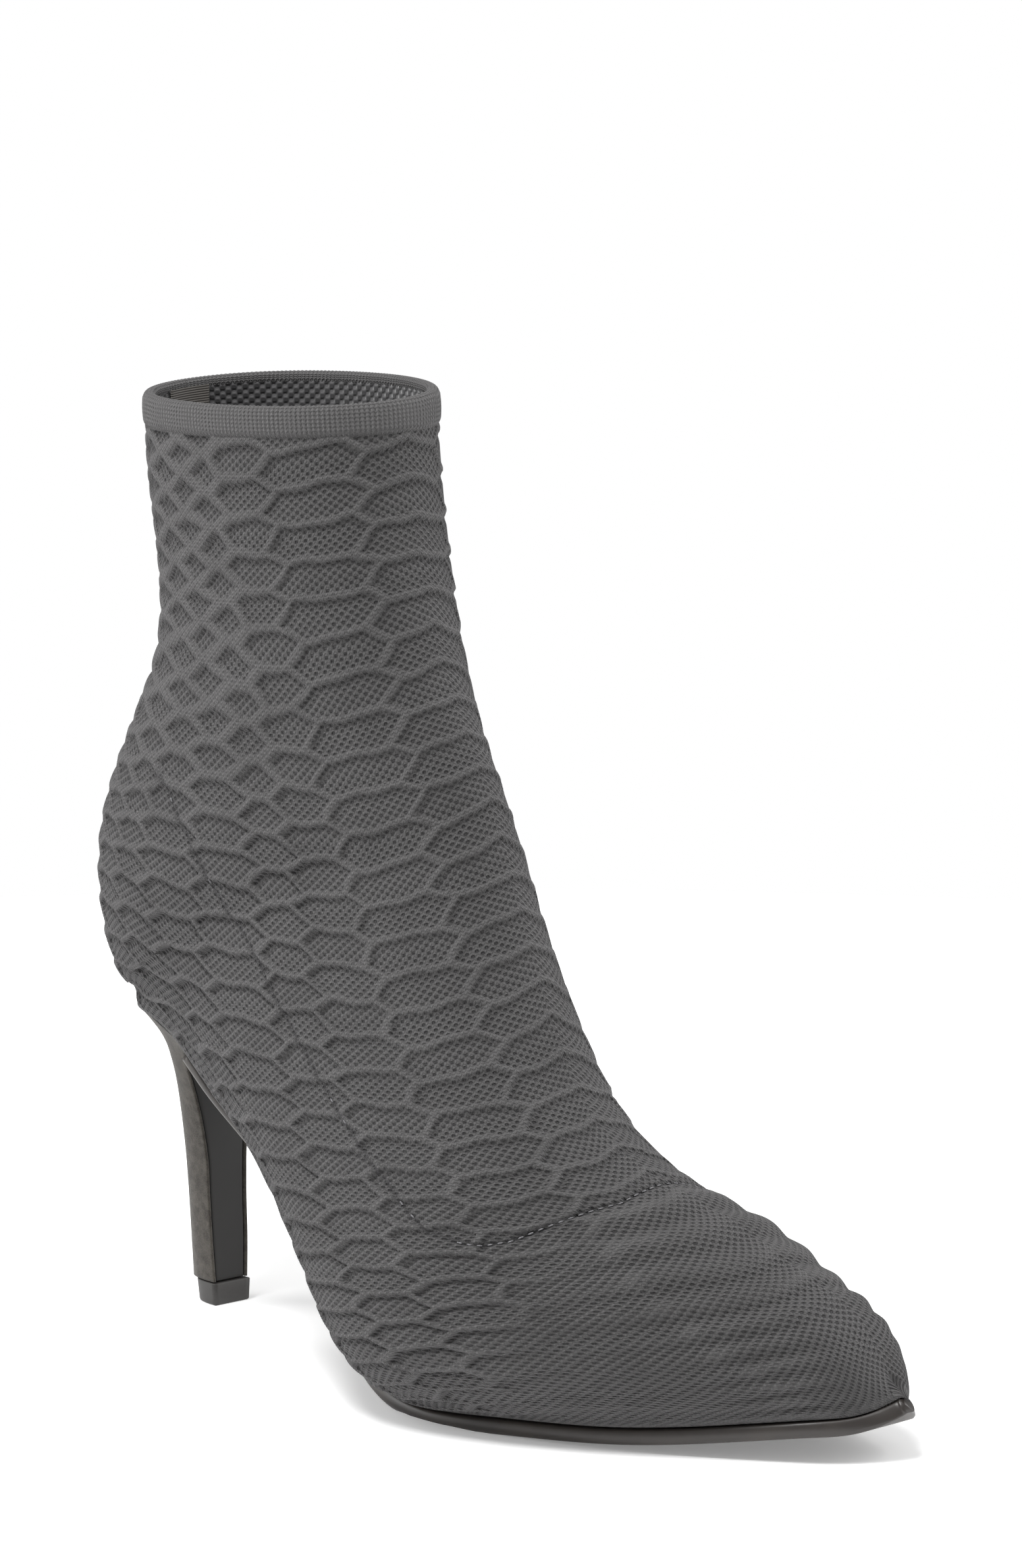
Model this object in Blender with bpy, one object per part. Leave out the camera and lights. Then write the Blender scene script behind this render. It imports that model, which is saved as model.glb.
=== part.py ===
# Knitted sock boot on a slim heel, right foot, size about EU 38. Metres, +Z up, +X to the toe, +Y to the
# wearer's left. The origin is the centre of the heel tip's ground face.
import math
from collections import namedtuple

import bmesh
import bpy
import numpy as np

# Driving dimensions of the last
FOOT_LENGTH = 0.238        # back of the heel to the end of the toe, level
HEEL_OVERHANG = 0.0303     # the back of the heel behind the centre of the heel tip
SEAT_HEIGHT = 0.0751       # rear edge of the heel seat above the floor
SHAFT_RISE = 0.1465        # collar edge above the rear edge of the heel seat
BALL_WIDTH = 0.080         # upper across the ball
TOE_SPRING = 0.0112        # lift of the last's bottom at the toe
TOE_SWING = 0.0175         # the toe to the inner side of the heel's centre line

# Upper, cuff and tape
UPPER_WALL = 0.0022        # knit and its lining
CUFF_HEIGHT = 0.0065
COLLAR_FRONT_DROP = 0.0011     # the soft collar's front edge below its middle, and its inner edge above it,
COLLAR_INNER_RISE = 0.0031     # a shape that fades out over the first sections
COLLAR_FADE = 3.0
CUFF_STEP = 0.0006         # how far the cuff stands out from the shaft
TAPE_WIDTH = 0.013
TAPE_THICKNESS = 0.0006
TAPE_DROP = 0.0015         # tape's upper end below the collar edge
TAPE_GAP = 0.0004          # between the tape and the wall, whose flat faces stand in a little

# Sole and insole
SOLE_THICKNESS = 0.0033
WAIST_THICKNESS = 0.0020   # outsole under the arch
SOLE_MARGIN = 0.0012       # outsole beyond the upper, all round the forefoot
INSOLE_THICKNESS = 0.0022
INSOLE_END = 0.004         # width of the insole's blunt end at the toe
INSOLE_PLAY = 0.0016       # between the insole's edge and the wall round it

# Heel
TIP_WIDTH = 0.0104
TIP_LENGTH = 0.0098
TIP_HEIGHT = 0.0055
TIP_FLARE = 0.0006         # how much wider and longer the tip is on top
WRAP_THICKNESS = 0.0008
SEAT_INSET = 0.0005        # heel's upper edge inside the upper's edge
BREAST_REACH = 0.0323      # breast of the heel ahead of the rear of the seat

CLEARANCE = 0.0003         # between two pieces that meet
CORE_GAP = 0.00045         # between the heel's core and its cover, whose flat faces stand in a little
GROUND = SOLE_THICKNESS + CLEARANCE

# Sections of the last, each in a plane that holds the Y direction, from the collar round to the toe. x and z
# place its front (or top) and back (or bottom) point: x in shares of FOOT_LENGTH from the back of the heel,
# z as a share of SEAT_HEIGHT (lift) and of SHAFT_RISE (up). Half widths, outer and inner side, and the same
# at the edge where the wall ends on the sole, are shares of BALL_WIDTH. level is the share of the way from
# back to front where the section is widest, ridge the squareness of its front, swing a share of TOE_SWING.
# Above the seat the edges repeat the seat's, since the slit is shut there by section_at.
Section = namedtuple(
    "Section", "front_x front_lift front_up back_x back_lift back_up spring outer inner edge_out edge_in"
               " level ridge swing")
SECTIONS = [
    Section(0.418, 1.00, 0.996, 0.076, 1.000, 1.000, 0.00, 0.330, 0.351, 0.262, 0.262, 0.50, 2.0, 0.0),
    Section(0.426, 1.00, 0.882, 0.078, 1.000, 0.874, 0.00, 0.330, 0.349, 0.262, 0.262, 0.50, 2.0, 0.0),
    Section(0.436, 1.00, 0.782, 0.090, 1.000, 0.733, 0.00, 0.322, 0.343, 0.262, 0.262, 0.50, 2.0, 0.0),
    Section(0.451, 1.00, 0.683, 0.087, 1.000, 0.575, 0.00, 0.326, 0.338, 0.262, 0.262, 0.50, 2.0, 0.0),
    Section(0.472, 1.00, 0.587, 0.039, 1.000, 0.417, 0.00, 0.346, 0.347, 0.262, 0.262, 0.45, 2.0, 0.0),
    Section(0.499, 1.00, 0.498, 0.000, 1.000, 0.248, 0.00, 0.373, 0.360, 0.262, 0.262, 0.40, 1.95, 0.0),
    Section(0.528, 0.94, 0.446, 0.015, 1.000, 0.094, 0.00, 0.398, 0.373, 0.262, 0.262, 0.36, 1.9, 0.0),
    Section(0.542, 0.86, 0.441, 0.055, 1.000, 0.000, 0.00, 0.384, 0.376, 0.262, 0.262, 0.34, 1.9, 0.0),
    Section(0.559, 0.76, 0.421, 0.142, 0.952, 0.000, 0.00, 0.390, 0.379, 0.263, 0.262, 0.32, 1.9, 0.0),
    Section(0.584, 0.62, 0.412, 0.231, 0.770, 0.000, 0.00, 0.411, 0.384, 0.267, 0.270, 0.30, 1.85, -0.06),
    Section(0.617, 0.45, 0.398, 0.322, 0.540, 0.000, 0.00, 0.450, 0.400, 0.231, 0.248, 0.30, 1.8, -0.14),
    Section(0.657, 0.26, 0.385, 0.435, 0.227, 0.000, 0.00, 0.514, 0.436, 0.275, 0.295, 0.30, 1.8, -0.24),
    Section(0.705, 0.08, 0.379, 0.555, 0.006, 0.000, 0.00, 0.578, 0.475, 0.371, 0.413, 0.28, 1.8, -0.27),
    Section(0.766, 0.00, 0.346, 0.684, 0.000, 0.000, 0.00, 0.548, 0.470, 0.387, 0.431, 0.28, 1.8, -0.05),
    Section(0.830, 0.00, 0.295, 0.805, 0.000, 0.000, 0.13, 0.439, 0.392, 0.325, 0.355, 0.30, 1.9, 0.29),
    Section(0.889, 0.00, 0.234, 0.910, 0.000, 0.000, 0.41, 0.284, 0.259, 0.209, 0.227, 0.35, 1.9, 0.62),
    Section(0.941, 0.00, 0.180, 0.980, 0.000, 0.000, 0.67, 0.149, 0.138, 0.107, 0.115, 0.42, 2.1, 0.87),
    Section(0.979, 0.00, 0.096, 1.005, 0.000, 0.000, 1.00, 0.026, 0.032, 0.012, 0.012, 0.50, 2.0, 1.00),
]
SEAT = 7                   # the section whose back point is the rear of the heel seat: the slit starts here
LAST = len(SECTIONS) - 1
EDGE_RISE = 0.35           # share of the lower side over which the wall leaves the sole upright
SEAT_RISE = 0.40           # the same, more of it, over the rear of the seat
SEAT_FADE = 2.5            # sections ahead of the seat's rear over which that ends
WIDEST = 0.4               # share of the way up a side, in points of the mesh, where it is widest
LOW_FULLNESS = 0.78        # how far the lower side bulges into its corner, 0 straight
WAIST_FROM, WAIST_TO = 10.4, 11.8      # sections between which the outsole thickens

# Rings of the heel from its foot up: height as a share of the seat's height there, how far the ring follows
# the slope of the seat, rear and front as distances from the tip's centre and half width, in shares of
# SEAT_HEIGHT, and how square the ring is.
Ring = namedtuple("Ring", "height slope rear front half square")
HEEL_RINGS = [
    Ring(0.000, 0.0, 0.097, 0.055, 0.070, 2.6),
    Ring(0.140, 0.0, 0.101, 0.050, 0.077, 2.6),
    Ring(0.300, 0.0, 0.110, 0.042, 0.080, 2.6),
    Ring(0.450, 0.0, 0.125, 0.040, 0.083, 2.5),
    Ring(0.590, 0.1, 0.136, 0.030, 0.097, 2.4),
    Ring(0.700, 0.3, 0.142, 0.027, 0.120, 2.2),
    Ring(0.800, 0.6, 0.136, 0.034, 0.155, 2.2),
    Ring(0.900, 0.9, 0.150, 0.070, 0.200, 2.2),
]

# Heel's top ring, and the stretch over which the rings' values are softened
SEAT_SQUARE = 3.0
RING_SOFTENING = 0.05

# Mesh density: points round a section, rows per section, rows where the slit opens, rows at the toe,
# rows and points round of the heel, rows of the sole, insole and tape, points across the tape
AROUND = 32
PER_SECTION = 3.0
SLIT_STEPS = 6
TOE_STEPS = 6
SLIT_STRETCH = 1.25        # sections over which the slit's rows are closer, and the toe's
TOE_STRETCH = 2
TOE_CROWDING = 1.3
HEEL_STEPS = 17
HEEL_CURVE = 16
FOOT_CROWDING = 0.9
SOLE_ROWS = 40
INSOLE_ROWS = 44
TAPE_ROWS = 18
TAPE_POINTS = 7
TAPE_END = 4.0             # the section where the tape ends

# Colours
KNIT = (0.098, 0.098, 0.102)
LINING = (0.120, 0.112, 0.105)
SOLE_BROWN = (0.085, 0.078, 0.072)
HEEL_DARK = (0.040, 0.038, 0.036)
SUEDE = (0.100, 0.095, 0.086)
TIP_RUBBER = (0.045, 0.042, 0.041)


def clear_scene():
    for old in list(bpy.data.objects):
        bpy.data.objects.remove(old, do_unlink=True)


def natural_spline(values):
    """Second derivatives of the natural cubic through one value per section."""
    n = len(values)
    a = np.zeros((n, n))
    b = np.zeros(n)
    a[0, 0] = a[-1, -1] = 1.0
    for i in range(1, n - 1):
        a[i, i - 1:i + 2] = 1.0, 4.0, 1.0
        b[i] = 6.0 * (values[i - 1] - 2.0 * values[i] + values[i + 1])
    return np.linalg.solve(a, b)


def section_values():
    """One row of metres per section: what the splines run through."""
    rows = []
    for s in SECTIONS:
        rows.append([
            s.front_x * FOOT_LENGTH - HEEL_OVERHANG,
            GROUND + s.front_lift * (SEAT_HEIGHT - GROUND) + s.front_up * SHAFT_RISE,
            s.back_x * FOOT_LENGTH - HEEL_OVERHANG,
            GROUND + s.back_lift * (SEAT_HEIGHT - GROUND) + s.back_up * SHAFT_RISE + s.spring * TOE_SPRING,
            s.outer * BALL_WIDTH, s.inner * BALL_WIDTH,
            s.edge_out * BALL_WIDTH, s.edge_in * BALL_WIDTH,
            s.level, s.ridge, s.swing * TOE_SWING,
        ])
    return np.array(rows)


VALUES = section_values()
BENDS = np.array([natural_spline(column) for column in VALUES.T]).T
COLUMNS = "front_x front_z back_x back_z outer inner edge_out edge_in level ridge swing".split()


def section_at(v):
    """The section at place v along the table, as a dict of arrays."""
    v = np.clip(np.asarray(v, float), 0.0, LAST)
    i = np.minimum(v.astype(int), LAST - 1)
    b = v - i
    a = 1.0 - b
    a, b = a[..., None], b[..., None]
    row = (VALUES[i] * a + VALUES[i + 1] * b
           + (BENDS[i] * (a ** 3 - a) + BENDS[i + 1] * (b ** 3 - b)) / 6.0)
    out = dict(zip(COLUMNS, np.moveaxis(row, -1, 0)))
    # The slit opens round, as the rear of the seat is round, and is shut above the seat.
    t = np.clip(v - SEAT, 0.0, 1.0)
    opening = np.sqrt(1.0 - (1.0 - t) ** 2)
    out["open"] = opening * (v > SEAT)
    for name in ("edge_out", "edge_in"):
        out[name] = out[name] * out["open"]
    out["near_seat"] = np.clip(1.0 - (v - SEAT) / SEAT_FADE, 0.0, 1.0)
    return out


def side_curve(t, s, side):
    """Width and share of the way up one side: t runs 0 at the sole's edge, WIDEST at the widest, 1 on top."""
    edge = s["edge_" + ("out" if side < 0 else "in")]
    half = s["outer" if side < 0 else "inner"]
    low = np.clip(t / WIDEST, 0.0, 1.0)
    rise = (EDGE_RISE + SEAT_RISE * s["near_seat"]) * s["open"] * s["level"]
    p0 = (1 - low) ** 2
    p1 = 2 * low * (1 - low) * LOW_FULLNESS
    p2 = low ** 2
    total = p0 + p1 + p2
    low_width = (p0 * edge + (p1 + p2) * half) / total
    low_share = (p1 * rise + p2 * s["level"]) / total
    angle = np.clip((t - WIDEST) / (1 - WIDEST), 0.0, 1.0) * math.pi / 2
    high_width = half * np.cos(angle) ** (2.0 / s["ridge"])
    high_share = s["level"] + (1.0 - s["level"]) * np.sin(angle) ** (2.0 / s["ridge"])
    lower = t < WIDEST
    return np.where(lower, low_width, high_width), np.where(lower, low_share, high_share)


def skin(v, q):
    """Points of the outside: v along the sections, q round from the outer edge over the top to the inner."""
    v, q = np.broadcast_arrays(np.asarray(v, float), np.asarray(q, float))
    s = section_at(v)
    t = 1.0 - np.abs(2.0 * q - 1.0)
    out_width, out_share = side_curve(t, s, -1)
    in_width, in_share = side_curve(t, s, 1)
    outer_side = q < 0.5
    share = np.where(outer_side, out_share, in_share)
    y = s["swing"] + np.where(outer_side, -out_width, in_width)
    x = s["back_x"] + (s["front_x"] - s["back_x"]) * share
    z = s["back_z"] + (s["front_z"] - s["back_z"]) * share
    # The soft collar sits a little lower in front and higher on the inner side.
    soft = np.clip(1.0 - v / COLLAR_FADE, 0.0, 1.0) ** 2
    z = z + soft * (COLLAR_INNER_RISE * y / s["inner"] - COLLAR_FRONT_DROP * (2.0 * share - 1.0))
    return np.stack([x, y, z], axis=-1)


def outward(v, q):
    """Unit normals of the outside."""
    v, q = np.broadcast_arrays(np.asarray(v, float), np.asarray(q, float))
    dv, dq = 0.02, 0.004
    along = skin(np.minimum(v + dv, LAST), q) - skin(np.maximum(v - dv, 0.0), q)
    # Above the seat a section is shut, so the step round it passes over the back seam.
    shut = v <= SEAT
    before, after = q - dq, q + dq
    before = np.where(shut, before % 1.0, np.maximum(before, 0.0))
    after = np.where(shut, after % 1.0, np.minimum(after, 1.0))
    round_it = skin(v, after) - skin(v, before)
    n = np.cross(along, round_it)
    n /= np.maximum(np.linalg.norm(n, axis=-1, keepdims=True), 1e-12)
    return n


def wall_point(v, q, depth):
    """A point this deep inside the outside of the upper."""
    depth = np.asarray(depth, float)
    return skin(v, q) - outward(v, q) * depth[..., None]


def seat_places(count):
    """Places over the section after the seat's rear, spaced so that the round rear is followed evenly."""
    return SEAT + 1.0 - np.cos(np.linspace(0.0, math.pi / 2, count))


def toe_places():
    """Places over the last two sections, closer together towards the toe's end."""
    left = 1.0 - np.arange(1, TOE_STEPS + 1) / TOE_STEPS
    return LAST - TOE_STRETCH * left ** TOE_CROWDING


def section_places():
    """Places along the table for the rows of the upper's mesh."""
    shaft_end = SEAT - 0.3
    foot_start = SEAT + SLIT_STRETCH
    toe_start = LAST - TOE_STRETCH
    shaft = np.linspace(0.0, shaft_end, int(PER_SECTION * shaft_end), endpoint=False)
    foot = np.linspace(foot_start, toe_start, int(PER_SECTION * (toe_start - foot_start)) + 1)
    return np.concatenate([shaft, [shaft_end, SEAT - 0.1], seat_places(SLIT_STEPS + 1), foot, toe_places()])


def place_below_collar(distance):
    """The place along the table that lies this far down the shaft."""
    v = np.linspace(0.0, 1.0, 101)
    back = skin(v, 0.25)
    run = np.concatenate([[0.0], np.cumsum(np.linalg.norm(np.diff(back, axis=0), axis=1))])
    return float(np.interp(distance, run, v))


def make_material(name, colour, roughness):
    material = bpy.data.materials.new(name)
    material.use_nodes = True
    shader = material.node_tree.nodes["Principled BSDF"]
    shader.inputs["Base Color"].default_value = (*colour, 1.0)
    shader.inputs["Roughness"].default_value = roughness
    shader.inputs["Metallic"].default_value = 0.0
    return material


def make_object(name, points, faces, material, smooth=True):
    mesh = bpy.data.meshes.new(name)
    mesh.from_pydata([tuple(p) for p in points], [], faces)
    mesh.validate()
    work = bmesh.new()
    work.from_mesh(mesh)
    bmesh.ops.recalc_face_normals(work, faces=work.faces)
    work.to_mesh(mesh)
    work.free()
    mesh.materials.append(material)
    for face in mesh.polygons:
        face.use_smooth = smooth
    item = bpy.data.objects.new(name, mesh)
    bpy.context.scene.collection.objects.link(item)
    return item


def build_upper(material):
    """Outside and inside as two grids that share the collar, the slit's two edges and the toe's end."""
    cuff_end = place_below_collar(CUFF_HEIGHT)
    cuff_foot = place_below_collar(CUFF_HEIGHT + CUFF_STEP)
    places = section_places()
    below_cuff = places[places > cuff_foot + 0.08]
    places = np.concatenate([[0.0, cuff_end / 2, cuff_end, cuff_foot], below_cuff])
    around = np.linspace(0.0, 1.0, AROUND + 1)
    v, q = np.meshgrid(places, around, indexing="ij")
    step = np.where(v <= cuff_end, CUFF_STEP, 0.0)
    outside = wall_point(v, q, -step)
    inside = wall_point(v, q, np.full(v.shape, UPPER_WALL))
    shut = places <= SEAT
    # The two edges of the slit are cut level with the sole.
    for column, side in ((0, -1), (AROUND, 1)):
        inside[~shut, column] = feather_points(places[~shut], side, UPPER_WALL)
    collar_mid = (outside[0] + inside[0]) / 2
    collar_half = (outside[0] - inside[0]) / 2
    up = skin(0.0, around) - skin(0.05, around)
    up /= np.linalg.norm(up, axis=1, keepdims=True)
    radius = np.linalg.norm(collar_half, axis=1, keepdims=True)
    bead = [collar_mid + collar_half * math.cos(a) + up * radius * math.sin(a)
            for a in (math.radians(45), math.radians(90), math.radians(135))]

    points = []
    index = {}

    def add(key, place):
        index[key] = len(points)
        points.append(place)

    for side, grid in (("out", outside), ("in", inside)):
        for i in range(len(places)):
            for j in range(AROUND + 1):
                if shut[i] and j == AROUND:
                    index[side, i, j] = index[side, i, 0]
                else:
                    add((side, i, j), grid[i, j])
    for k, row in enumerate(bead):
        for j in range(AROUND):
            add(("bead", k, j), row[j])
        index["bead", k, AROUND] = index["bead", k, 0]

    faces = []
    last_row = len(places) - 1
    for side in ("out", "in"):
        for i in range(last_row):
            for j in range(AROUND):
                faces.append([index[side, i, j], index[side, i, j + 1],
                              index[side, i + 1, j + 1], index[side, i + 1, j]])
    rows = [[index["out", 0, j] for j in range(AROUND + 1)]]
    rows += [[index["bead", k, j] for j in range(AROUND + 1)] for k in range(len(bead))]
    rows += [[index["in", 0, j] for j in range(AROUND + 1)]]
    for upper_row, lower_row in zip(rows, rows[1:]):
        for j in range(AROUND):
            faces.append([upper_row[j], upper_row[j + 1], lower_row[j + 1], lower_row[j]])
    first_open = int(np.argmax(~shut)) - 1
    for i in range(first_open, last_row):
        for j in (0, AROUND):
            faces.append([index["out", i, j], index["out", i + 1, j],
                          index["in", i + 1, j], index["in", i, j]])
    # The toe's end: a small plate outside and one inside, joined along the slit.
    faces.append([index["out", last_row, j] for j in range(AROUND + 1)])
    faces.append([index["in", last_row, j] for j in range(AROUND + 1)])
    faces.append([index["out", last_row, 0], index["out", last_row, AROUND],
                  index["in", last_row, AROUND], index["in", last_row, 0]])
    faces = [clean for clean in (list(dict.fromkeys(face)) for face in faces) if len(clean) > 2]
    return make_object("upper", points, faces, material)


def bottom_line():
    """The last's bottom from the seat's rear to the toe: place, x, z and length so far."""
    v = np.concatenate([seat_places(40), np.linspace(SEAT + 1.0, LAST, 400)[1:]])
    s = section_at(v)
    run = np.concatenate([[0.0], np.cumsum(np.hypot(np.diff(s["back_x"]), np.diff(s["back_z"])))])
    return v, s["back_x"], s["back_z"], run


LINE_V, LINE_X, LINE_Z, LINE_RUN = bottom_line()


def on_bottom(run, y, drop):
    """A point under the last: this far along its bottom, at this y, and this far below it."""
    x = np.interp(run, LINE_RUN, LINE_X)
    z = np.interp(run, LINE_RUN, LINE_Z)
    beyond = run - np.clip(run, 0.0, LINE_RUN[-1])
    h = 0.002
    clipped = np.clip(run, h, LINE_RUN[-1] - h)
    dx = np.interp(clipped + h, LINE_RUN, LINE_X) - np.interp(clipped - h, LINE_RUN, LINE_X)
    dz = np.interp(clipped + h, LINE_RUN, LINE_Z) - np.interp(clipped - h, LINE_RUN, LINE_Z)
    size = np.hypot(dx, dz)
    dx, dz = dx / size, dz / size
    return np.stack([x + dx * beyond + dz * drop, y + 0.0 * x, z + dz * beyond - dx * drop], axis=-1)


def outline(v, side, inset):
    """Length along the bottom and y of the sole's edge at the places v, moved in by inset."""
    v = np.asarray(v, float)

    def edge(w):
        s = section_at(w)
        half = s["edge_out"] if side < 0 else s["edge_in"]
        return np.stack([np.interp(w, LINE_V, LINE_RUN), s["swing"] + side * half], axis=-1)

    here = edge(v)
    small = 0.004
    ahead = edge(np.minimum(v + small, LAST)) - edge(np.maximum(v - small, SEAT))
    ahead /= np.linalg.norm(ahead, axis=-1, keepdims=True)
    inward = np.stack([ahead[..., 1], -ahead[..., 0]], axis=-1) * side
    at_rear = v <= SEAT
    inward[at_rear] = (1.0, 0.0)
    return here + inward * inset


def feather_points(v, side, inset):
    """Points on the last's bottom, moved in from the sole's edge by inset."""
    flat = outline(v, side, inset)
    return on_bottom(flat[..., 0], flat[..., 1], np.zeros(len(flat)))


def build_plate(name, places, inset, drops, material, floor=None):
    """A plate under or inside the last, between the two sides of its outline: drops gives its two faces."""
    left = outline(places, -1, inset)
    right = outline(places, 1, inset)
    keep = right[:, 1] - left[:, 1] > INSOLE_END if inset > 0 else np.ones(len(places), bool)
    left, right, places = left[keep], right[keep], places[keep]
    points = []
    for drop in drops:
        depth = drop(places)
        for side in (left, right):
            row = on_bottom(side[:, 0], side[:, 1], depth)
            if floor is not None:
                row[:, 2] = np.maximum(row[:, 2], floor)
            points += list(row)
    n = len(places)
    top_left, top_right, low_left, low_right = (range(k * n, (k + 1) * n) for k in range(4))
    faces = []
    for i in range(n - 1):
        faces.append([top_left[i], top_left[i + 1], top_right[i + 1], top_right[i]])
        faces.append([low_left[i], low_right[i], low_right[i + 1], low_left[i + 1]])
        faces.append([top_left[i], low_left[i], low_left[i + 1], top_left[i + 1]])
        faces.append([top_right[i], top_right[i + 1], low_right[i + 1], low_right[i]])
    for i in (0, n - 1):
        faces.append([top_left[i], top_right[i], low_right[i], low_left[i]])
    return make_object(name, points, faces, material, smooth=False)


def build_outsole(material):
    start = float(np.interp(BREAST_REACH + CLEARANCE, LINE_X - LINE_X[0], LINE_V))
    places = np.concatenate([np.linspace(start, LAST - TOE_STRETCH, SOLE_ROWS), toe_places()])

    def thickness(v):
        t = np.clip((v - WAIST_FROM) / (WAIST_TO - WAIST_FROM), 0.0, 1.0)
        t = t * t * (3 - 2 * t)
        return CLEARANCE + WAIST_THICKNESS + (SOLE_THICKNESS - WAIST_THICKNESS) * t

    return build_plate("outsole", places, -SOLE_MARGIN,
                       (lambda v: np.full(len(v), CLEARANCE), thickness), material, floor=0.0)


def build_insole(material):
    places = np.concatenate([seat_places(12), np.linspace(SEAT + 1.2, LAST - 0.5, INSOLE_ROWS)])
    return build_plate("insole", places, UPPER_WALL + INSOLE_PLAY,
                       (lambda v: np.full(len(v), -INSOLE_THICKNESS), lambda v: np.zeros(len(v))), material)


def build_tape(material):
    """The strip over the back seam, inside the shaft, down to where the ankle starts."""
    top = place_below_collar(TAPE_DROP)
    places = np.linspace(top, TAPE_END, TAPE_ROWS)
    near = UPPER_WALL + TAPE_GAP
    layers = []
    for depth in (near, near + TAPE_THICKNESS):
        rows = []
        for v in places:
            # The section's points lie closer near the back seam, so the width is found by length.
            q = np.linspace(0.0, 0.25, 61)
            side = skin(v, q)
            run = np.concatenate([[0.0], np.cumsum(np.linalg.norm(np.diff(side, axis=0), axis=1))])
            half = float(np.interp(TAPE_WIDTH / 2, run, q))
            spread = np.linspace(-half, half, TAPE_POINTS) % 1.0
            rows.append(wall_point(np.full(TAPE_POINTS, v), spread, np.full(TAPE_POINTS, depth)))
        layers.append(np.array(rows))
    points = np.concatenate([layers[0].reshape(-1, 3), layers[1].reshape(-1, 3)])
    n, m = layers[0].shape[:2]

    def at(layer, i, j):
        return layer * n * m + i * m + j

    faces = []
    for layer in (0, 1):
        for i in range(n - 1):
            for j in range(m - 1):
                faces.append([at(layer, i, j), at(layer, i, j + 1),
                              at(layer, i + 1, j + 1), at(layer, i + 1, j)])
    for i in range(n - 1):
        for j in (0, m - 1):
            faces.append([at(0, i, j), at(0, i + 1, j), at(1, i + 1, j), at(1, i, j)])
    for j in range(m - 1):
        for i in (0, n - 1):
            faces.append([at(0, i, j), at(0, i, j + 1), at(1, i, j + 1), at(1, i, j)])
    return make_object("seam_tape", points, faces, material)


def heel_ring(t):
    """The heel's ring at share t of its height, between the rows of HEEL_RINGS."""
    heights = [r.height for r in HEEL_RINGS] + [1.0]
    rear_end = HEEL_OVERHANG - SECTIONS[SEAT].back_x * FOOT_LENGTH - SEAT_INSET
    seat = section_at(SEAT + 1.0)
    top = dict(slope=1.0, rear=rear_end, front=BREAST_REACH - rear_end - SEAT_INSET,
               half=float(seat["edge_out"]) - SEAT_INSET, square=SEAT_SQUARE)
    out = {}
    for name in ("slope", "rear", "front", "half", "square"):
        size = SEAT_HEIGHT if name in ("rear", "front", "half") else 1.0
        column = [getattr(r, name) * size for r in HEEL_RINGS] + [top[name]]
        out[name] = softened(t, heights, column)
    return out


def softened(t, places, values):
    """The value at t, softened by a mean over a short stretch except at the two ends."""
    stretch = np.clip(t + np.linspace(-RING_SOFTENING, RING_SOFTENING, 9), 0.0, 1.0)
    mean = float(np.mean(np.interp(stretch, places, values)))
    plain = float(np.interp(t, places, values))
    blend = min(1.0, min(t, 1.0 - t) / RING_SOFTENING)
    return plain * (1 - blend) + mean * blend


def heel_height(x):
    """The height of the heel's top under the last at this x."""
    return np.interp(x, LINE_X, LINE_Z) - CLEARANCE


def ring_points(t, inset, count):
    """Points of the heel's sides and back at share t, from the breast's outer edge round to its inner."""
    ring = heel_ring(t)
    angle = np.linspace(0.0, math.pi, count)
    power = 2.0 / ring["square"]
    back = ring["rear"] + ring["front"] - inset
    half = ring["half"] - inset
    x = ring["front"] - back * np.abs(np.sin(angle)) ** power
    y = -half * np.sign(np.cos(angle)) * np.abs(np.cos(angle)) ** power
    foot = TIP_HEIGHT + CLEARANCE
    middle = heel_height(0.0)
    level = foot + t * (middle - foot)
    z = level + ring["slope"] * (heel_height(x) - middle)
    return np.stack([x, y, z], axis=-1)


def heel_shares():
    """Shares of the heel's height for its rings, a little closer together at the seat."""
    return np.linspace(0.0, 1.0, HEEL_STEPS) ** FOOT_CROWDING


def build_heel(material):
    """The core: rings round the sides and back with a flat breast, closed at the foot and the seat."""
    inset = WRAP_THICKNESS + CORE_GAP
    rings = [ring_points(t, inset, HEEL_CURVE + 1) for t in heel_shares()]
    return loft("heel", rings, material)


def loft(name, rings, material):
    """Closed rings of equal count joined to one solid with flat or ruled ends."""
    n = len(rings[0])
    points = np.concatenate(rings)
    faces = []
    for i in range(len(rings) - 1):
        for j in range(n):
            k = (j + 1) % n
            faces.append([i * n + j, i * n + k, (i + 1) * n + k, (i + 1) * n + j])
    for start in (0, (len(rings) - 1) * n):
        for j in range(n // 2):
            a, b = start + j, start + n - 1 - j
            c, d = start + j + 1, start + n - 2 - j
            face = list(dict.fromkeys([a, c, d, b]))
            if len(face) > 2:
                faces.append(face)
    return make_object(name, points, faces, material)


def build_wrap(material):
    """The cover round the heel's sides and back, from the foot to the seat."""
    rings = []
    for t in heel_shares():
        outer = ring_points(t, 0.0, HEEL_CURVE + 1)
        inner = ring_points(t, WRAP_THICKNESS, HEEL_CURVE + 1)
        rings.append(np.concatenate([outer, inner[::-1]]))
    n = HEEL_CURVE + 1
    points = np.concatenate(rings)
    faces = []
    ring_size = 2 * n
    for i in range(len(rings) - 1):
        for j in range(ring_size):
            k = (j + 1) % ring_size
            faces.append([i * ring_size + j, i * ring_size + k,
                          (i + 1) * ring_size + k, (i + 1) * ring_size + j])
    for start in (0, (len(rings) - 1) * ring_size):
        for j in range(n - 1):
            faces.append([start + j, start + j + 1, start + ring_size - 2 - j, start + ring_size - 1 - j])
    return make_object("heel_wrap", points, faces, material)


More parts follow.
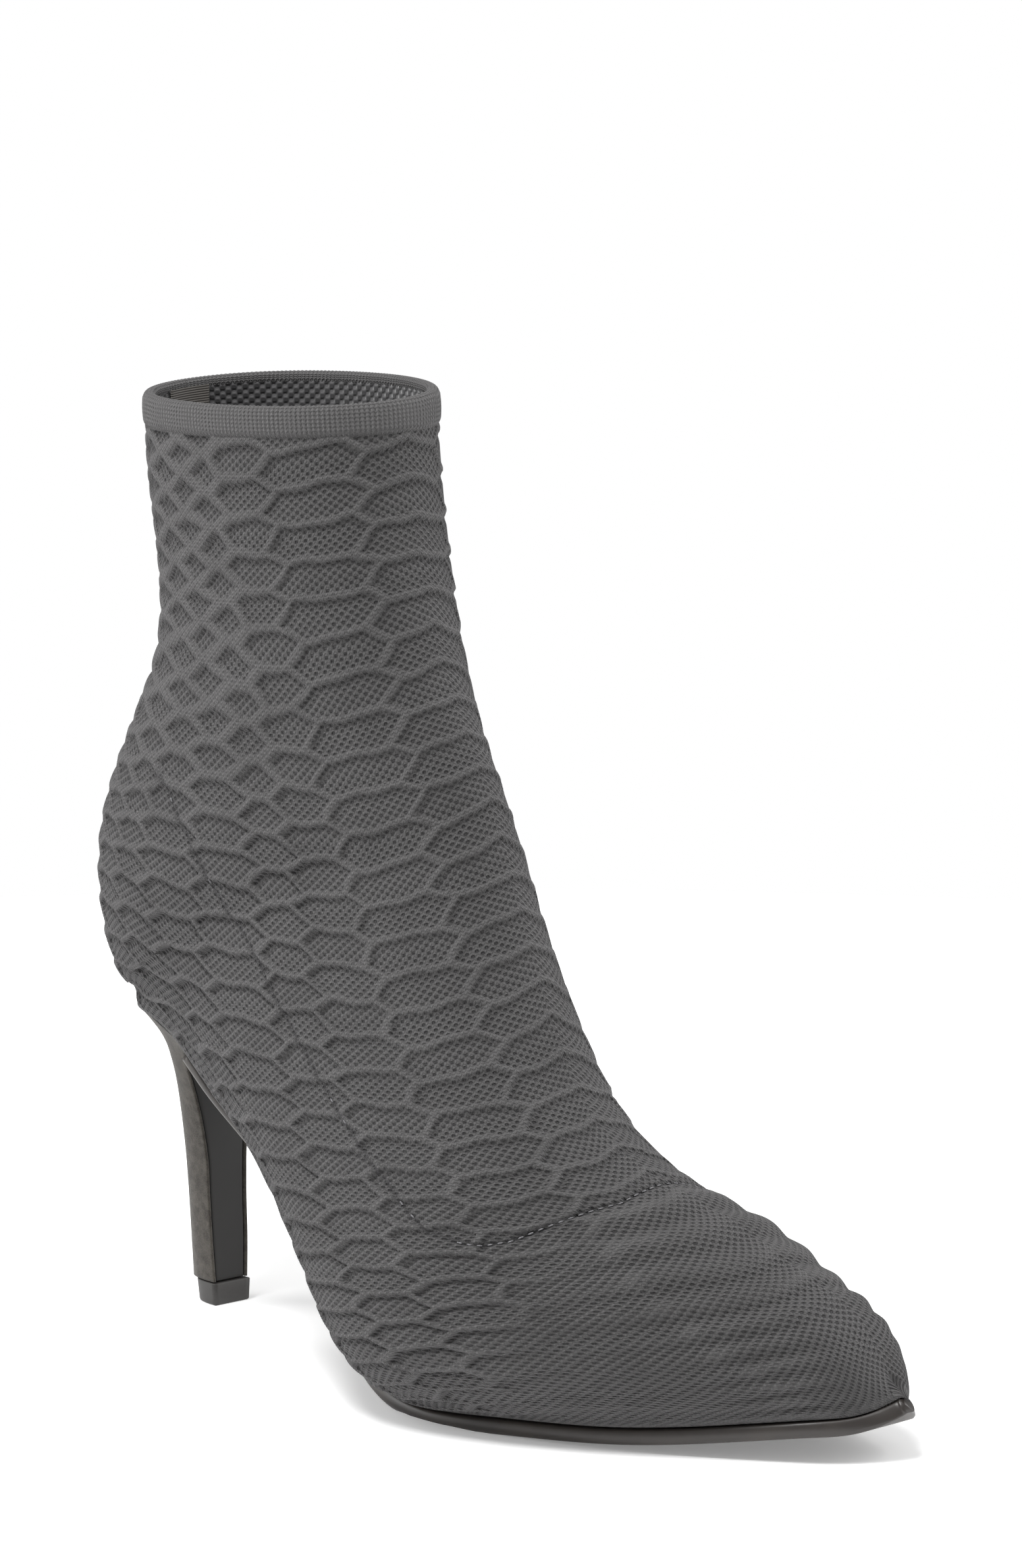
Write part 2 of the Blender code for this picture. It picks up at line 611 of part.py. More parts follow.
def build_tip(material):
    """The top piece that meets the floor, a little wider above than at the ground."""
    rings = []
    for z, grow in ((0.0, 0.0), (TIP_HEIGHT, TIP_FLARE)):
        angle = np.linspace(0.0, math.pi, HEEL_CURVE + 1)
        power = 2.0 / HEEL_RINGS[0].square
        length = TIP_LENGTH + grow
        half = TIP_WIDTH / 2 + grow / 2
        x = TIP_LENGTH / 2 - length * np.abs(np.sin(angle)) ** power
        y = -half * np.sign(np.cos(angle)) * np.abs(np.cos(angle)) ** power
        rings.append(np.stack([x, y, np.full(len(x), z)], axis=-1))
    return loft("heel_tip", rings, material)


def main():
    clear_scene()
    build_upper(make_material("grey rib knit", KNIT, 0.9))
    build_tape(make_material("seam tape", LINING, 0.7))
    build_insole(make_material("insole textile", LINING, 0.75))
    build_outsole(make_material("sole rubber", SOLE_BROWN, 0.45))
    build_heel(make_material("painted heel core", HEEL_DARK, 0.5))
    build_wrap(make_material("heel cover microsuede", SUEDE, 0.85))
    build_tip(make_material("heel tip polyurethane", TIP_RUBBER, 0.5))


main()
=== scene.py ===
"""Grey honeycomb-knit sweater boot on a slim heel: the looks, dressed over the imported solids.

Lengths are in metres. Sizes in the materials are in millimetres. +X runs to the toe, +Y to the inner side.
"""
import math
from collections import namedtuple

import bpy
import numpy as np
from mathutils import Matrix, Vector


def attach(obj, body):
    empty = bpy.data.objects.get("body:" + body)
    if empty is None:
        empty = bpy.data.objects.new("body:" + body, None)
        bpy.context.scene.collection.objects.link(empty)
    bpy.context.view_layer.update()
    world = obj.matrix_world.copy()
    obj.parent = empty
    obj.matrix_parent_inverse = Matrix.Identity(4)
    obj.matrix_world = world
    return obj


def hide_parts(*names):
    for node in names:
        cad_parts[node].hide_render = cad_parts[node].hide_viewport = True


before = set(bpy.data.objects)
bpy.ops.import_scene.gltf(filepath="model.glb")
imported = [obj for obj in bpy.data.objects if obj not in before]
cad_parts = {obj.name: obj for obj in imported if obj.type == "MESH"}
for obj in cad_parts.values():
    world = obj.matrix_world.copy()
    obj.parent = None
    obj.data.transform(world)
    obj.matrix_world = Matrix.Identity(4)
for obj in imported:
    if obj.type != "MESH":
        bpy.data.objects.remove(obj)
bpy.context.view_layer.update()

MM = 0.001

# Sizes of the boot, the same named sizes as the part's
FOOT_LENGTH = 0.238
HEEL_OVERHANG = 0.0303
SEAT_HEIGHT = 0.0751
SHAFT_RISE = 0.1465
BALL_WIDTH = 0.080
TOE_SPRING = 0.0112
TOE_SWING = 0.0175
UPPER_WALL = 0.0022
CUFF_HEIGHT = 0.0065
CUFF_STEP = 0.0006
TAPE_WIDTH = 0.013
TAPE_THICKNESS = 0.0006
TAPE_DROP = 0.0015
TAPE_GAP = 0.0004
SOLE_THICKNESS = 0.0033
WAIST_THICKNESS = 0.0020
SOLE_MARGIN = 0.0012
INSOLE_THICKNESS = 0.0022
INSOLE_PLAY = 0.0016
TIP_WIDTH = 0.0104
TIP_LENGTH = 0.0098
TIP_HEIGHT = 0.0055
TIP_FLARE = 0.0006
WRAP_THICKNESS = 0.0008
SEAT_INSET = 0.0005
BREAST_REACH = 0.0323
CLEARANCE = 0.0003
COLLAR_FRONT_DROP = 0.0011
COLLAR_INNER_RISE = 0.0031
COLLAR_FADE = 3.0
GROUND = SOLE_THICKNESS + CLEARANCE

# Sections of the upper from the collar down the shaft, round the ankle and out to the toe, as in the part
Section = namedtuple("Section", "front_x front_lift front_up back_x back_lift back_up spring "
                                "outer inner edge_out edge_in level ridge swing")
SECTIONS = [
    Section(0.418, 1.00, 0.996, 0.076, 1.000, 1.000, 0.00, 0.330, 0.351, 0.262, 0.262, 0.50, 2.0, 0.0),
    Section(0.426, 1.00, 0.882, 0.078, 1.000, 0.874, 0.00, 0.330, 0.349, 0.262, 0.262, 0.50, 2.0, 0.0),
    Section(0.436, 1.00, 0.782, 0.090, 1.000, 0.733, 0.00, 0.322, 0.343, 0.262, 0.262, 0.50, 2.0, 0.0),
    Section(0.451, 1.00, 0.683, 0.087, 1.000, 0.575, 0.00, 0.326, 0.338, 0.262, 0.262, 0.50, 2.0, 0.0),
    Section(0.472, 1.00, 0.587, 0.039, 1.000, 0.417, 0.00, 0.346, 0.347, 0.262, 0.262, 0.45, 2.0, 0.0),
    Section(0.499, 1.00, 0.498, 0.000, 1.000, 0.248, 0.00, 0.373, 0.360, 0.262, 0.262, 0.40, 1.95, 0.0),
    Section(0.528, 0.94, 0.446, 0.015, 1.000, 0.094, 0.00, 0.398, 0.373, 0.262, 0.262, 0.36, 1.9, 0.0),
    Section(0.542, 0.86, 0.441, 0.055, 1.000, 0.000, 0.00, 0.384, 0.376, 0.262, 0.262, 0.34, 1.9, 0.0),
    Section(0.559, 0.76, 0.421, 0.142, 0.952, 0.000, 0.00, 0.390, 0.379, 0.263, 0.262, 0.32, 1.9, 0.0),
    Section(0.584, 0.62, 0.412, 0.231, 0.770, 0.000, 0.00, 0.411, 0.384, 0.267, 0.270, 0.30, 1.85, -0.06),
    Section(0.617, 0.45, 0.398, 0.322, 0.540, 0.000, 0.00, 0.450, 0.400, 0.231, 0.248, 0.30, 1.8, -0.14),
    Section(0.657, 0.26, 0.385, 0.435, 0.227, 0.000, 0.00, 0.514, 0.436, 0.275, 0.295, 0.30, 1.8, -0.24),
    Section(0.705, 0.08, 0.379, 0.555, 0.006, 0.000, 0.00, 0.578, 0.475, 0.371, 0.413, 0.28, 1.8, -0.27),
    Section(0.766, 0.00, 0.346, 0.684, 0.000, 0.000, 0.00, 0.548, 0.470, 0.387, 0.431, 0.28, 1.8, -0.05),
    Section(0.830, 0.00, 0.295, 0.805, 0.000, 0.000, 0.13, 0.439, 0.392, 0.325, 0.355, 0.30, 1.9, 0.29),
    Section(0.889, 0.00, 0.234, 0.910, 0.000, 0.000, 0.41, 0.284, 0.259, 0.209, 0.227, 0.35, 1.9, 0.62),
    Section(0.941, 0.00, 0.180, 0.980, 0.000, 0.000, 0.67, 0.149, 0.138, 0.107, 0.115, 0.42, 2.1, 0.87),
    Section(0.979, 0.00, 0.096, 1.005, 0.000, 0.000, 1.00, 0.026, 0.032, 0.012, 0.012, 0.50, 2.0, 1.00),
]
SEAT = 7
LAST = len(SECTIONS) - 1
EDGE_RISE = 0.35
SEAT_RISE = 0.40
SEAT_FADE = 2.5
WIDEST = 0.4
LOW_FULLNESS = 0.78
WAIST_FROM, WAIST_TO = 10.4, 11.8
TOE_DRAW = 0.8

# Rings of the heel from its foot up, as in the part
Ring = namedtuple("Ring", "height slope rear front half square")
HEEL_RINGS = [
    Ring(0.000, 0.0, 0.097, 0.055, 0.070, 2.6),
    Ring(0.140, 0.0, 0.101, 0.050, 0.077, 2.6),
    Ring(0.300, 0.0, 0.110, 0.042, 0.080, 2.6),
    Ring(0.450, 0.0, 0.125, 0.040, 0.083, 2.5),
    Ring(0.590, 0.1, 0.136, 0.030, 0.097, 2.4),
    Ring(0.700, 0.3, 0.142, 0.027, 0.120, 2.2),
    Ring(0.800, 0.6, 0.136, 0.034, 0.155, 2.2),
    Ring(0.900, 0.9, 0.150, 0.070, 0.200, 2.2),
]
SEAT_SQUARE = 3.0
RING_SOFTENING = 0.05

# Mesh density of the knit: rows from collar to toe, columns on each half, pieces it is cut into
KNIT_ROWS = 740
KNIT_HALF = 240
KNIT_PIECES = 4

# Honeycomb of raised ridges. Places are lengths in millimetres over the surface: s sideways from the
# front's middle line, and rho down from the collar. Each row gives, at one place along SECTIONS, how far
# sideways the zigzag lines between the columns of cells lie.
HONEYCOMB_AT = [0, 2, 4, 5.5, 7, 9, 11, 12, 13, 14, 15, 17]
HONEYCOMB_LINES = [
    [12.6, 12.5, 13, 15.5, 16.5, 16.7, 15.2, 16, 22, 28, 30, 30],
    [35.8, 34.6, 34, 37, 37.2, 37, 35.3, 37, 45, 52, 58, 60],
    [51.5, 48.5, 46.5, 49.5, 51.5, 53, 52, 55, 62, 70, 78, 82],
    [59.5, 57.5, 56.5, 60, 64, 67, 68, 70, 78, 86, 94, 98],
    [67.5, 66, 66, 77, 85, 86, 86, 88, 96, 104, 112, 116],
    [77, 76, 77, 97.5, 100, 98, 100, 104, 112, 120, 128, 132],
    [88, 87, 89, 111, 115, 112, 116, 120, 128, 136, 144, 148],
    [99, 98, 101, 125, 131, 128, 132, 136, 144, 152, 160, 164],
    [112, 111, 114, 140, 147, 144, 148, 152, 160, 168, 176, 180],
    [126, 125, 127, 154, 163, 160, 164, 168, 176, 184, 192, 196],
    [140, 139, 140, 168, 179, 176, 180, 184, 192, 200, 208, 212],
]
# How far each zigzag swings to either side, at the collar and at the heel
ZIGZAG_SWING = [(2.6, 2.6), (2.8, 2.2), (2.5, 2.5), (4.0, 3.0), (4.0, 3.0), (4.6, 3.0), (5.2, 3.0),
                (5.2, 3.0), (5.2, 3.0), (5.2, 3.0), (5.2, 3.0)]
# Where the level ridges of each column lie, as a share of the pitch
RIDGE_PHASE = [0.39, 0.0, 0.65, 0.06, 0.62, 0.06, 0.60, 0.10, 0.60, 0.10, 0.60, 0.10]
RIDGE_START = 14.2
RIDGE_PITCH = 8.5
RIDGE_WIDTH = 0.8
RECESS_DEPTH = 0.7
SHADE_SHIFT = (0.6, 1.3)
VAMP_BUMP = 0.9
TOE_FULLNESS = 2.0
TOE_PULL = 2.3 * MM
TOE_DROP = 1.3 * MM
WAIST_TUCK = 1.2 * MM

# Stitched line where the lining's top edge shows through the knit: places along SECTIONS, s in millimetres
TOPLINE = [
    (13.10, 0.0), (13.13, 12.8), (12.89, 25.4), (12.70, 35.1), (12.50, 40.1), (12.33, 42.6), (11.94, 46.6),
    (11.63, 47.8), (11.26, 49.1), (10.82, 51.7), (10.38, 54.6), (9.90, 57.9), (9.29, 61.8), (8.66, 65.7),
    (7.90, 69.2), (6.91, 74.1), (6.13, 76.6), (5.42, 79.7), (4.74, 83.5),
]
STITCH_PITCH = 2.3
STITCH_LIFT = -0.25 * MM

# The photograph's camera: azimuth in degrees, distance, height, and focal length and centre in pixels of the
# 1552 x 2380 picture
CAMERA_AZIMUTH = 48.33
CAMERA_DISTANCE = 0.9363
CAMERA_HEIGHT = 0.2460
CAMERA_FOCAL = 6345.3
CAMERA_CENTRE = (-113.1, 155.3)
CAMERA_AIM = (0.080, 0.0, 0.110)
PICTURE_HEIGHT = 2380
WORLD_LIGHT = 0.45
SENSOR = 36.0


def natural_spline(values):
    """Second derivatives of the natural cubic through one value per section."""
    n = len(values)
    a = np.zeros((n, n))
    b = np.zeros(n)
    a[0, 0] = a[-1, -1] = 1.0
    for i in range(1, n - 1):
        a[i, i - 1:i + 2] = 1.0, 4.0, 1.0
        b[i] = 6.0 * (values[i - 1] - 2.0 * values[i] + values[i + 1])
    return np.linalg.solve(a, b)


def section_values():
    rows = []
    for s in SECTIONS:
        rows.append([
            s.front_x * FOOT_LENGTH - HEEL_OVERHANG,
            GROUND + s.front_lift * (SEAT_HEIGHT - GROUND) + s.front_up * SHAFT_RISE,
            s.back_x * FOOT_LENGTH - HEEL_OVERHANG,
            GROUND + s.back_lift * (SEAT_HEIGHT - GROUND) + s.back_up * SHAFT_RISE + s.spring * TOE_SPRING,
            s.outer * BALL_WIDTH, s.inner * BALL_WIDTH,
            s.edge_out * BALL_WIDTH, s.edge_in * BALL_WIDTH,
            s.level, s.ridge, s.swing * TOE_SWING,
        ])
    return np.array(rows)


VALUES = section_values()
BENDS = np.array([natural_spline(column) for column in VALUES.T]).T
COLUMNS = "front_x front_z back_x back_z outer inner edge_out edge_in level ridge swing".split()


def section_at(v):
    """The section at place v along the table, as a dict of arrays."""
    v = np.clip(np.asarray(v, float), 0.0, LAST)
    i = np.minimum(v.astype(int), LAST - 1)
    b = v - i
    a = 1.0 - b
    a, b = a[..., None], b[..., None]
    row = (VALUES[i] * a + VALUES[i + 1] * b
           + (BENDS[i] * (a ** 3 - a) + BENDS[i + 1] * (b ** 3 - b)) / 6.0)
    out = dict(zip(COLUMNS, np.moveaxis(row, -1, 0)))
    t = np.clip(v - SEAT, 0.0, 1.0)
    opening = np.sqrt(1.0 - (1.0 - t) ** 2)
    out["open"] = opening * (v > SEAT)
    for name in ("edge_out", "edge_in"):
        out[name] = out[name] * out["open"]
    out["near_seat"] = np.clip(1.0 - (v - SEAT) / SEAT_FADE, 0.0, 1.0)
    return out


def side_curve(t, s, side):
    """Width and share of the way up one side: t runs 0 at the sole's edge, WIDEST at the widest, 1 on top."""
    edge = s["edge_" + ("out" if side < 0 else "in")]
    half = s["outer" if side < 0 else "inner"]
    low = np.clip(t / WIDEST, 0.0, 1.0)
    rise = (EDGE_RISE + SEAT_RISE * s["near_seat"]) * s["open"] * s["level"]
    p0 = (1 - low) ** 2
    p1 = 2 * low * (1 - low) * LOW_FULLNESS
    p2 = low ** 2
    total = p0 + p1 + p2
    low_width = (p0 * edge + (p1 + p2) * half) / total
    low_share = (p1 * rise + p2 * s["level"]) / total
    angle = np.clip((t - WIDEST) / (1 - WIDEST), 0.0, 1.0) * math.pi / 2
    high_width = half * np.cos(angle) ** (2.0 / s["ridge"])
    high_share = s["level"] + (1.0 - s["level"]) * np.sin(angle) ** (2.0 / s["ridge"])
    lower = t < WIDEST
    return np.where(lower, low_width, high_width), np.where(lower, low_share, high_share)


def skin(v, q):
    """Points of the outside: v along the sections, q round from the outer edge over the top to the inner."""
    v, q = np.broadcast_arrays(np.asarray(v, float), np.asarray(q, float))
    s = section_at(v)
    t = 1.0 - np.abs(2.0 * q - 1.0)
    out_width, out_share = side_curve(t, s, -1)
    in_width, in_share = side_curve(t, s, 1)
    outer_side = q < 0.5
    share = np.where(outer_side, out_share, in_share)
    y = s["swing"] + np.where(outer_side, -out_width, in_width)
    x = s["back_x"] + (s["front_x"] - s["back_x"]) * share
    z = s["back_z"] + (s["front_z"] - s["back_z"]) * share
    # The soft collar sits a little lower in front and higher on the inner side.
    soft = np.clip(1.0 - v / COLLAR_FADE, 0.0, 1.0) ** 2
    z = z + soft * (COLLAR_INNER_RISE * y / s["inner"] - COLLAR_FRONT_DROP * (2.0 * share - 1.0))
    return np.stack([x, y, z], axis=-1)


def outward(v, q):
    """Unit normals of the outside."""
    v, q = np.broadcast_arrays(np.asarray(v, float), np.asarray(q, float))
    dv, dq = 0.02, 0.004
    along = skin(np.minimum(v + dv, LAST), q) - skin(np.maximum(v - dv, 0.0), q)
    shut = v <= SEAT
    before, after = q - dq, q + dq
    before = np.where(shut, before % 1.0, np.maximum(before, 0.0))
    after = np.where(shut, after % 1.0, np.minimum(after, 1.0))
    n = np.cross(along, skin(v, after) - skin(v, before))
    return n / np.maximum(np.linalg.norm(n, axis=-1, keepdims=True), 1e-12)


def wall_point(v, q, depth):
    """A point this deep inside the outside of the upper."""
    return skin(v, q) - outward(v, q) * np.asarray(depth, float)[..., None]


def seat_places(count):
    """Places over the section after the seat's rear, spaced so that the round rear is followed evenly."""
    return SEAT + 1.0 - np.cos(np.linspace(0.0, math.pi / 2, count))


def lengths(points, axis=0):
    """Running length along the points."""
    steps = np.linalg.norm(np.diff(points, axis=axis), axis=-1)
    start = np.zeros_like(np.take(steps, [0], axis=axis))
    return np.concatenate([start, np.cumsum(steps, axis=axis)], axis=axis)


def place_below_collar(distance):
    """The place along the table that lies this far down the shaft."""
    v = np.linspace(0.0, 1.0, 101)
    return float(np.interp(distance, lengths(skin(v, 0.25)), v))


def smooth_step(t):
    t = np.clip(t, 0.0, 1.0)
    return t * t * (3.0 - 2.0 * t)


# Meshes

def add_mesh(name, points, faces, material, uv=None, attributes=None, normals=None):
    """An object from a list or array of points and quads or triangles, smooth shaded."""
    mesh = bpy.data.meshes.new(name)
    mesh.from_pydata(np.asarray(points).tolist(), [], [list(map(int, f)) for f in faces])
    mesh.polygons.foreach_set("use_smooth", np.ones(len(mesh.polygons), bool))
    corners = np.empty(len(mesh.loops), np.int32)
    mesh.loops.foreach_get("vertex_index", corners)
    if uv is not None:
        layer = mesh.uv_layers.new(name="Yarn")
        layer.data.foreach_set("uv", np.asarray(uv, np.float32)[corners].ravel())
    for key, values in (attributes or {}).items():
        held = mesh.attributes.new(key, "FLOAT", "POINT")
        held.data.foreach_set("value", np.asarray(values, np.float32))
    mesh.materials.append(material)
    mesh.update()
    if normals is not None:
        mesh.normals_split_custom_set_from_vertices(np.asarray(normals).tolist())
    item = bpy.data.objects.new(name, mesh)
    bpy.context.scene.collection.objects.link(item)
    return item


def grid_faces(rows, columns, closed=False, flip=False):
    """Quads of a grid of points, row by row; closed joins the last column to the first."""
    i, j = np.meshgrid(np.arange(rows - 1), np.arange(columns if closed else columns - 1), indexing="ij")
    k = (j + 1) % columns
    quads = np.stack([i * columns + j, i * columns + k, (i + 1) * columns + k, (i + 1) * columns + j], axis=-1)
    quads = quads.reshape(-1, 4)
    return quads[:, ::-1] if flip else quads


def dress(item, node):
    """The piece rides on the boot and stands for the CAD node, which is hidden."""
    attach(item, "root")
    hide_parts(node)
    return item


def bilinear(table, row, column):
    """Values of a table between its whole rows and columns."""
    i = np.clip(row.astype(int), 0, table.shape[0] - 2)
    j = np.clip(column.astype(int), 0, table.shape[1] - 2)
    a, b = np.clip(row - i, 0, 1), np.clip(column - j, 0, 1)
    return ((table[i, j] * (1 - a) + table[i + 1, j] * a) * (1 - b)
            + (table[i, j + 1] * (1 - a) + table[i + 1, j + 1] * a) * b)


# Knit of the upper: places over the surface

TABLE_STEP = 0.05


def half_table(samples=401):
    """For a fine list of places v: q and length s from the front's middle line to the outer edge, in mm."""
    v = np.linspace(0.0, LAST, int(round(LAST / TABLE_STEP)) + 1)
    q = np.linspace(0.5, 0.0, samples)
    grid_v, grid_q = np.meshgrid(v, q, indexing="ij")
    points = skin(grid_v, grid_q) / MM
    return v, q, points, lengths(points, axis=1)


def down_table():
    """How far below the collar each place lies, in mm, along the lines of equal s: by place and whole mm of s."""
    v, _, points, run = half_table()
    s = np.arange(0.0, 170.0)
    down = np.full((len(v), len(s)), np.nan)
    down[0, s <= run[0, -1]] = 0.0
    before = None
    for i in range(len(v)):
        here = np.stack([np.interp(s, run[i], points[i, :, k]) for k in range(3)], axis=-1)
        inside = s <= run[i, -1]
        if i:
            step = np.linalg.norm(here - before, axis=1)
            down[i] = down[i - 1] + step
            down[i, ~inside] = np.nan
            for j in np.flatnonzero(inside & np.isnan(down[i])):
                down[i, j] = down[i, j - 1]
        before = here
    # Past the edge the last value is carried on, so that values between the whole numbers stay good.
    for i in range(len(v)):
        good = ~np.isnan(down[i])
        down[i] = np.interp(s, s[good], down[i, good])
    return down


DOWN = down_table()


def down_from_collar(v, s):
    return bilinear(DOWN, np.asarray(v) / TABLE_STEP, np.abs(s))


def slant(v, s):
    """How far the rows of cells hang below the level at the middle line, in mm."""
    near = np.interp(v, [0, 3, 4, 5.5, 9, 11], [0.14, 0.14, 0.20, 0.26, 0.28, 0.33])
    s = np.abs(s)
    return near * np.minimum(s, 33) + 0.1 * np.clip(s - 33, 0, 7) + 0.03 * np.maximum(s - 40, 0)


def segment_distance(px, py, ax, ay, bx, by):
    dx, dy = bx - ax, by - ay
    t = ((px - ax) * dx + (py - ay) * dy) / np.maximum(dx * dx + dy * dy, 1e-9)
    t = np.clip(t, 0.0, 1.0)
    return np.hypot(px - ax - dx * t, py - ay - dy * t)


def zigzag(line, v):
    """Where the zigzag between two columns of cells runs and how far it swings, in mm."""
    swing = ZIGZAG_SWING[line]
    centre = np.interp(v, HONEYCOMB_AT, HONEYCOMB_LINES[line])
    return centre, np.interp(v, [3.5, 6.0], swing)


def ridge_distance(v, s, rho):
    """Distance in mm from each place to the nearest line of the honeycomb."""
    s = np.abs(s)
    nearest = np.full(s.shape, 99.0)
    pitch = RIDGE_PITCH
    level = (rho - RIDGE_START) / pitch
    for line in range(len(HONEYCOMB_LINES)):
        centre, swing = zigzag(line, v)
        inner, outer = RIDGE_PHASE[line], RIDGE_PHASE[line + 1]
        rise = (outer - inner) % 1.0
        u = (level - inner) % 1.0
        side = s - centre
        corners = [(1.0 - 1 + rise - 1.0, 1), (0.0, -1), (rise, 1), (1.0, -1), (1.0 + rise, 1)]
        for (u0, end0), (u1, end1) in zip(corners, corners[1:]):
            distance = segment_distance(side, u * pitch, end0 * swing, u0 * pitch, end1 * swing, u1 * pitch)
            nearest = np.minimum(nearest, distance)
    for column in range(len(HONEYCOMB_LINES)):
        if column == 0:
            start = 0.0 * v
        else:
            centre, swing = zigzag(column - 1, v)
            start = centre + swing
        centre, swing = zigzag(column, v)
        end = np.maximum(centre - swing, start)
        u = (level - RIDGE_PHASE[column] + 0.5) % 1.0 - 0.5
        across = np.maximum(np.maximum(start - s, s - end), 0.0)
        nearest = np.minimum(nearest, np.hypot(across, u * pitch))
    return nearest


def topline_distance(v, s, down):
    """Signed distance in mm from the stitched line, down being positive."""
    places = np.array([p[0] for p in TOPLINE])
    sides = np.array([p[1] for p in TOPLINE])
    fine = np.linspace(0.0, sides[-1], 400)
    line = down_from_collar(np.interp(fine, sides, places), fine)
    tilt = np.gradient(line, fine)
    s = np.abs(s)
    beyond = np.maximum(s - sides[-1], 0.0)
    return (down - np.interp(s, fine, line)) / np.sqrt(1.0 + np.interp(s, fine, tilt) ** 2), beyond


def knit_rows():
    """Places of the knit's rows, even over the surface, from the cuff's foot to the toe."""
    v = np.linspace(place_below_collar(CUFF_HEIGHT - 1.5 * MM), LAST, 3001)
    q = np.array([0.0, 0.1, 0.2, 0.3, 0.4, 0.5])
    points = skin(*np.meshgrid(v, q, indexing="ij"))
    steps = np.linalg.norm(np.diff(points, axis=0), axis=-1).mean(axis=1)
    run = np.concatenate([[0.0], np.cumsum(steps)])
    return np.interp(np.linspace(0, run[-1], KNIT_ROWS), run, v)


def even_columns(rows, half):
    """q and signed s of the columns, evenly spaced on each half of every row."""
    fine = np.linspace(0.0, 1.0, 801)
    share = np.linspace(0.0, 1.0, half + 1)
    out_q = np.empty((len(rows), 2 * half + 1))
    out_s = np.empty_like(out_q)
    for side, columns in ((-1, slice(half, None, -1)), (1, slice(half, None, 1))):
        q = 0.5 + side * fine * 0.5
        run = lengths(skin(rows[:, None], q[None, :]), axis=1) / MM
        for i in range(len(rows)):
            wanted = share * run[i, -1]
            out_q[i, columns] = np.interp(wanted, run[i], q)
            out_s[i, columns] = side * wanted
    return out_q, out_s


def vamp_bumps(v, s, down):
    """Broad soft bumps across the top of the foot, closer together towards the toe, 0 to 1."""
    start = float(down_from_collar(TOPLINE[0][0], 0.0))
    fine = np.linspace(0.0, 110.0, 221)
    pitch = np.interp(fine, [0, 25, 50, 110], [12.0, 10.0, 7.0, 6.2])
    count = np.concatenate([[0.0], np.cumsum(np.diff(fine) / pitch[1:])])
    below = down - 0.22 * np.abs(s) - start
    wave = 0.5 - 0.5 * np.cos(2 * math.pi * np.interp(below, fine, count))
    over = smooth_step(below / 4) * smooth_step((LAST - 0.5 - v) / 1.2) * smooth_step((50 - np.abs(s)) / 26)
    return wave ** 0.7 * over


def relief(v, s, down):
    """Height of the knit over the plain surface in mm, how much of it is ridge, 0 to 1, the painted shade in the
    hollow below each ridge, 0 to 1, and rho.
    """
    rho = down - slant(v, s)
    # The stretched knit isn't quite regular.
    stray_s = s + 0.45 * np.sin(rho / 2.9 + s / 5.3) + 0.25 * np.sin(rho / 1.3 - s / 2.1)
    stray_rho = rho + 0.35 * np.sin(s / 3.1 + 2.0 * np.sin(rho / 7.0)) + 0.2 * np.sin(s / 1.4 + rho / 3.7)
    side = smooth_step((np.abs(s) - 34) / 16)
    fore = smooth_step((v - 12.7) / 1.0)
    on_top = fore * smooth_step((62 - np.abs(s)) / 40)
    to_toe = smooth_step((LAST - 0.6 - v) / 2.2)
    wide = RIDGE_WIDTH * (1.0 + 0.9 * side * smooth_step((6.5 - v) / 2.5) + 0.9 * fore)
    faint = (1.0 - 0.65 * fore) * (1.0 - 0.85 * on_top) * to_toe
    ridge = 1.0 - smooth_step((ridge_distance(v, stray_s, stray_rho) / wide - 0.25) / 1.5)
    # The hollow just below each ridge is sunk a little and also darkened in the colour: painted shade, as if cast by
    # the ridge above.
    above = ridge_distance(v, stray_s - SHADE_SHIFT[0], stray_rho - SHADE_SHIFT[1])
    above = 1.0 - smooth_step((above / wide - 0.2) / 2.6)
    hollow_and_painted_shade = (1.0 - ridge) * above
    deep = RECESS_DEPTH * (1.0 + 0.6 * side) * faint
    height = -deep * ((1.0 - ridge) * 0.5 + hollow_and_painted_shade * 0.5) + 0.35 * faint
    bumps = vamp_bumps(v, s, down) * fore
    return height + VAMP_BUMP * bumps, ridge * (1.0 - 0.75 * fore) + 0.5 * bumps, hollow_and_painted_shade * faint, rho


def toe_pulled(points):
    """The points, drawn back a little at the toe's end."""
    end = VALUES[LAST][COLUMNS.index("back_x")]
    share = smooth_step((points[..., 0] - end) / (15 * MM) + 1.0)
    return points - share[..., None] * np.array([TOE_PULL, 0.0, TOE_DROP])


def knit_grid():
    rows = knit_rows()
    q, s = even_columns(rows, KNIT_HALF)
    v = np.broadcast_to(rows[:, None], q.shape)
    down = down_from_collar(v, s)
    height, ridge, hollow_and_painted_shade, rho = relief(v, s, down)
    off, beyond = topline_distance(v, s, down)
    strong = smooth_step((46 - np.abs(s)) / 6)
    fade = np.exp(-(beyond / 3.0) ** 2)
    groove = np.exp(-(off / 0.55) ** 2) * fade
    swell = np.exp(-((np.abs(off) - 1.5) / 0.9) ** 2) * strong * fade
    height = height * (1 - 0.6 * groove) - (0.35 + 0.25 * strong) * groove + 0.15 * swell
    # At the sole and under the cuff the knit lies flat.
    half = np.abs(s).max(axis=1, keepdims=True)
    to_edge = np.where(v > SEAT, half - np.abs(s), 99.0)
    flat = smooth_step((to_edge - 0.5) / 3.0) * smooth_step((down - 6.2) / 2.0)
    height = height * flat
    # The knit stands full and round over the toe's end.
    over_top = np.sin(np.clip((1.0 - np.abs(2.0 * q - 1.0)) / 0.7, 0.0, 1.0) * math.pi / 2)
    height = height + TOE_FULLNESS * smooth_step((v - 15.7) / 1.3) * over_top
    points = toe_pulled(skin(v, q) + outward(v, q) * (height * MM)[..., None])
    return v, s, rho, points, {"ridge": 1.0 - (1.0 - ridge) * flat, "groove": groove, "hollow_and_painted_shade": hollow_and_painted_shade * flat}


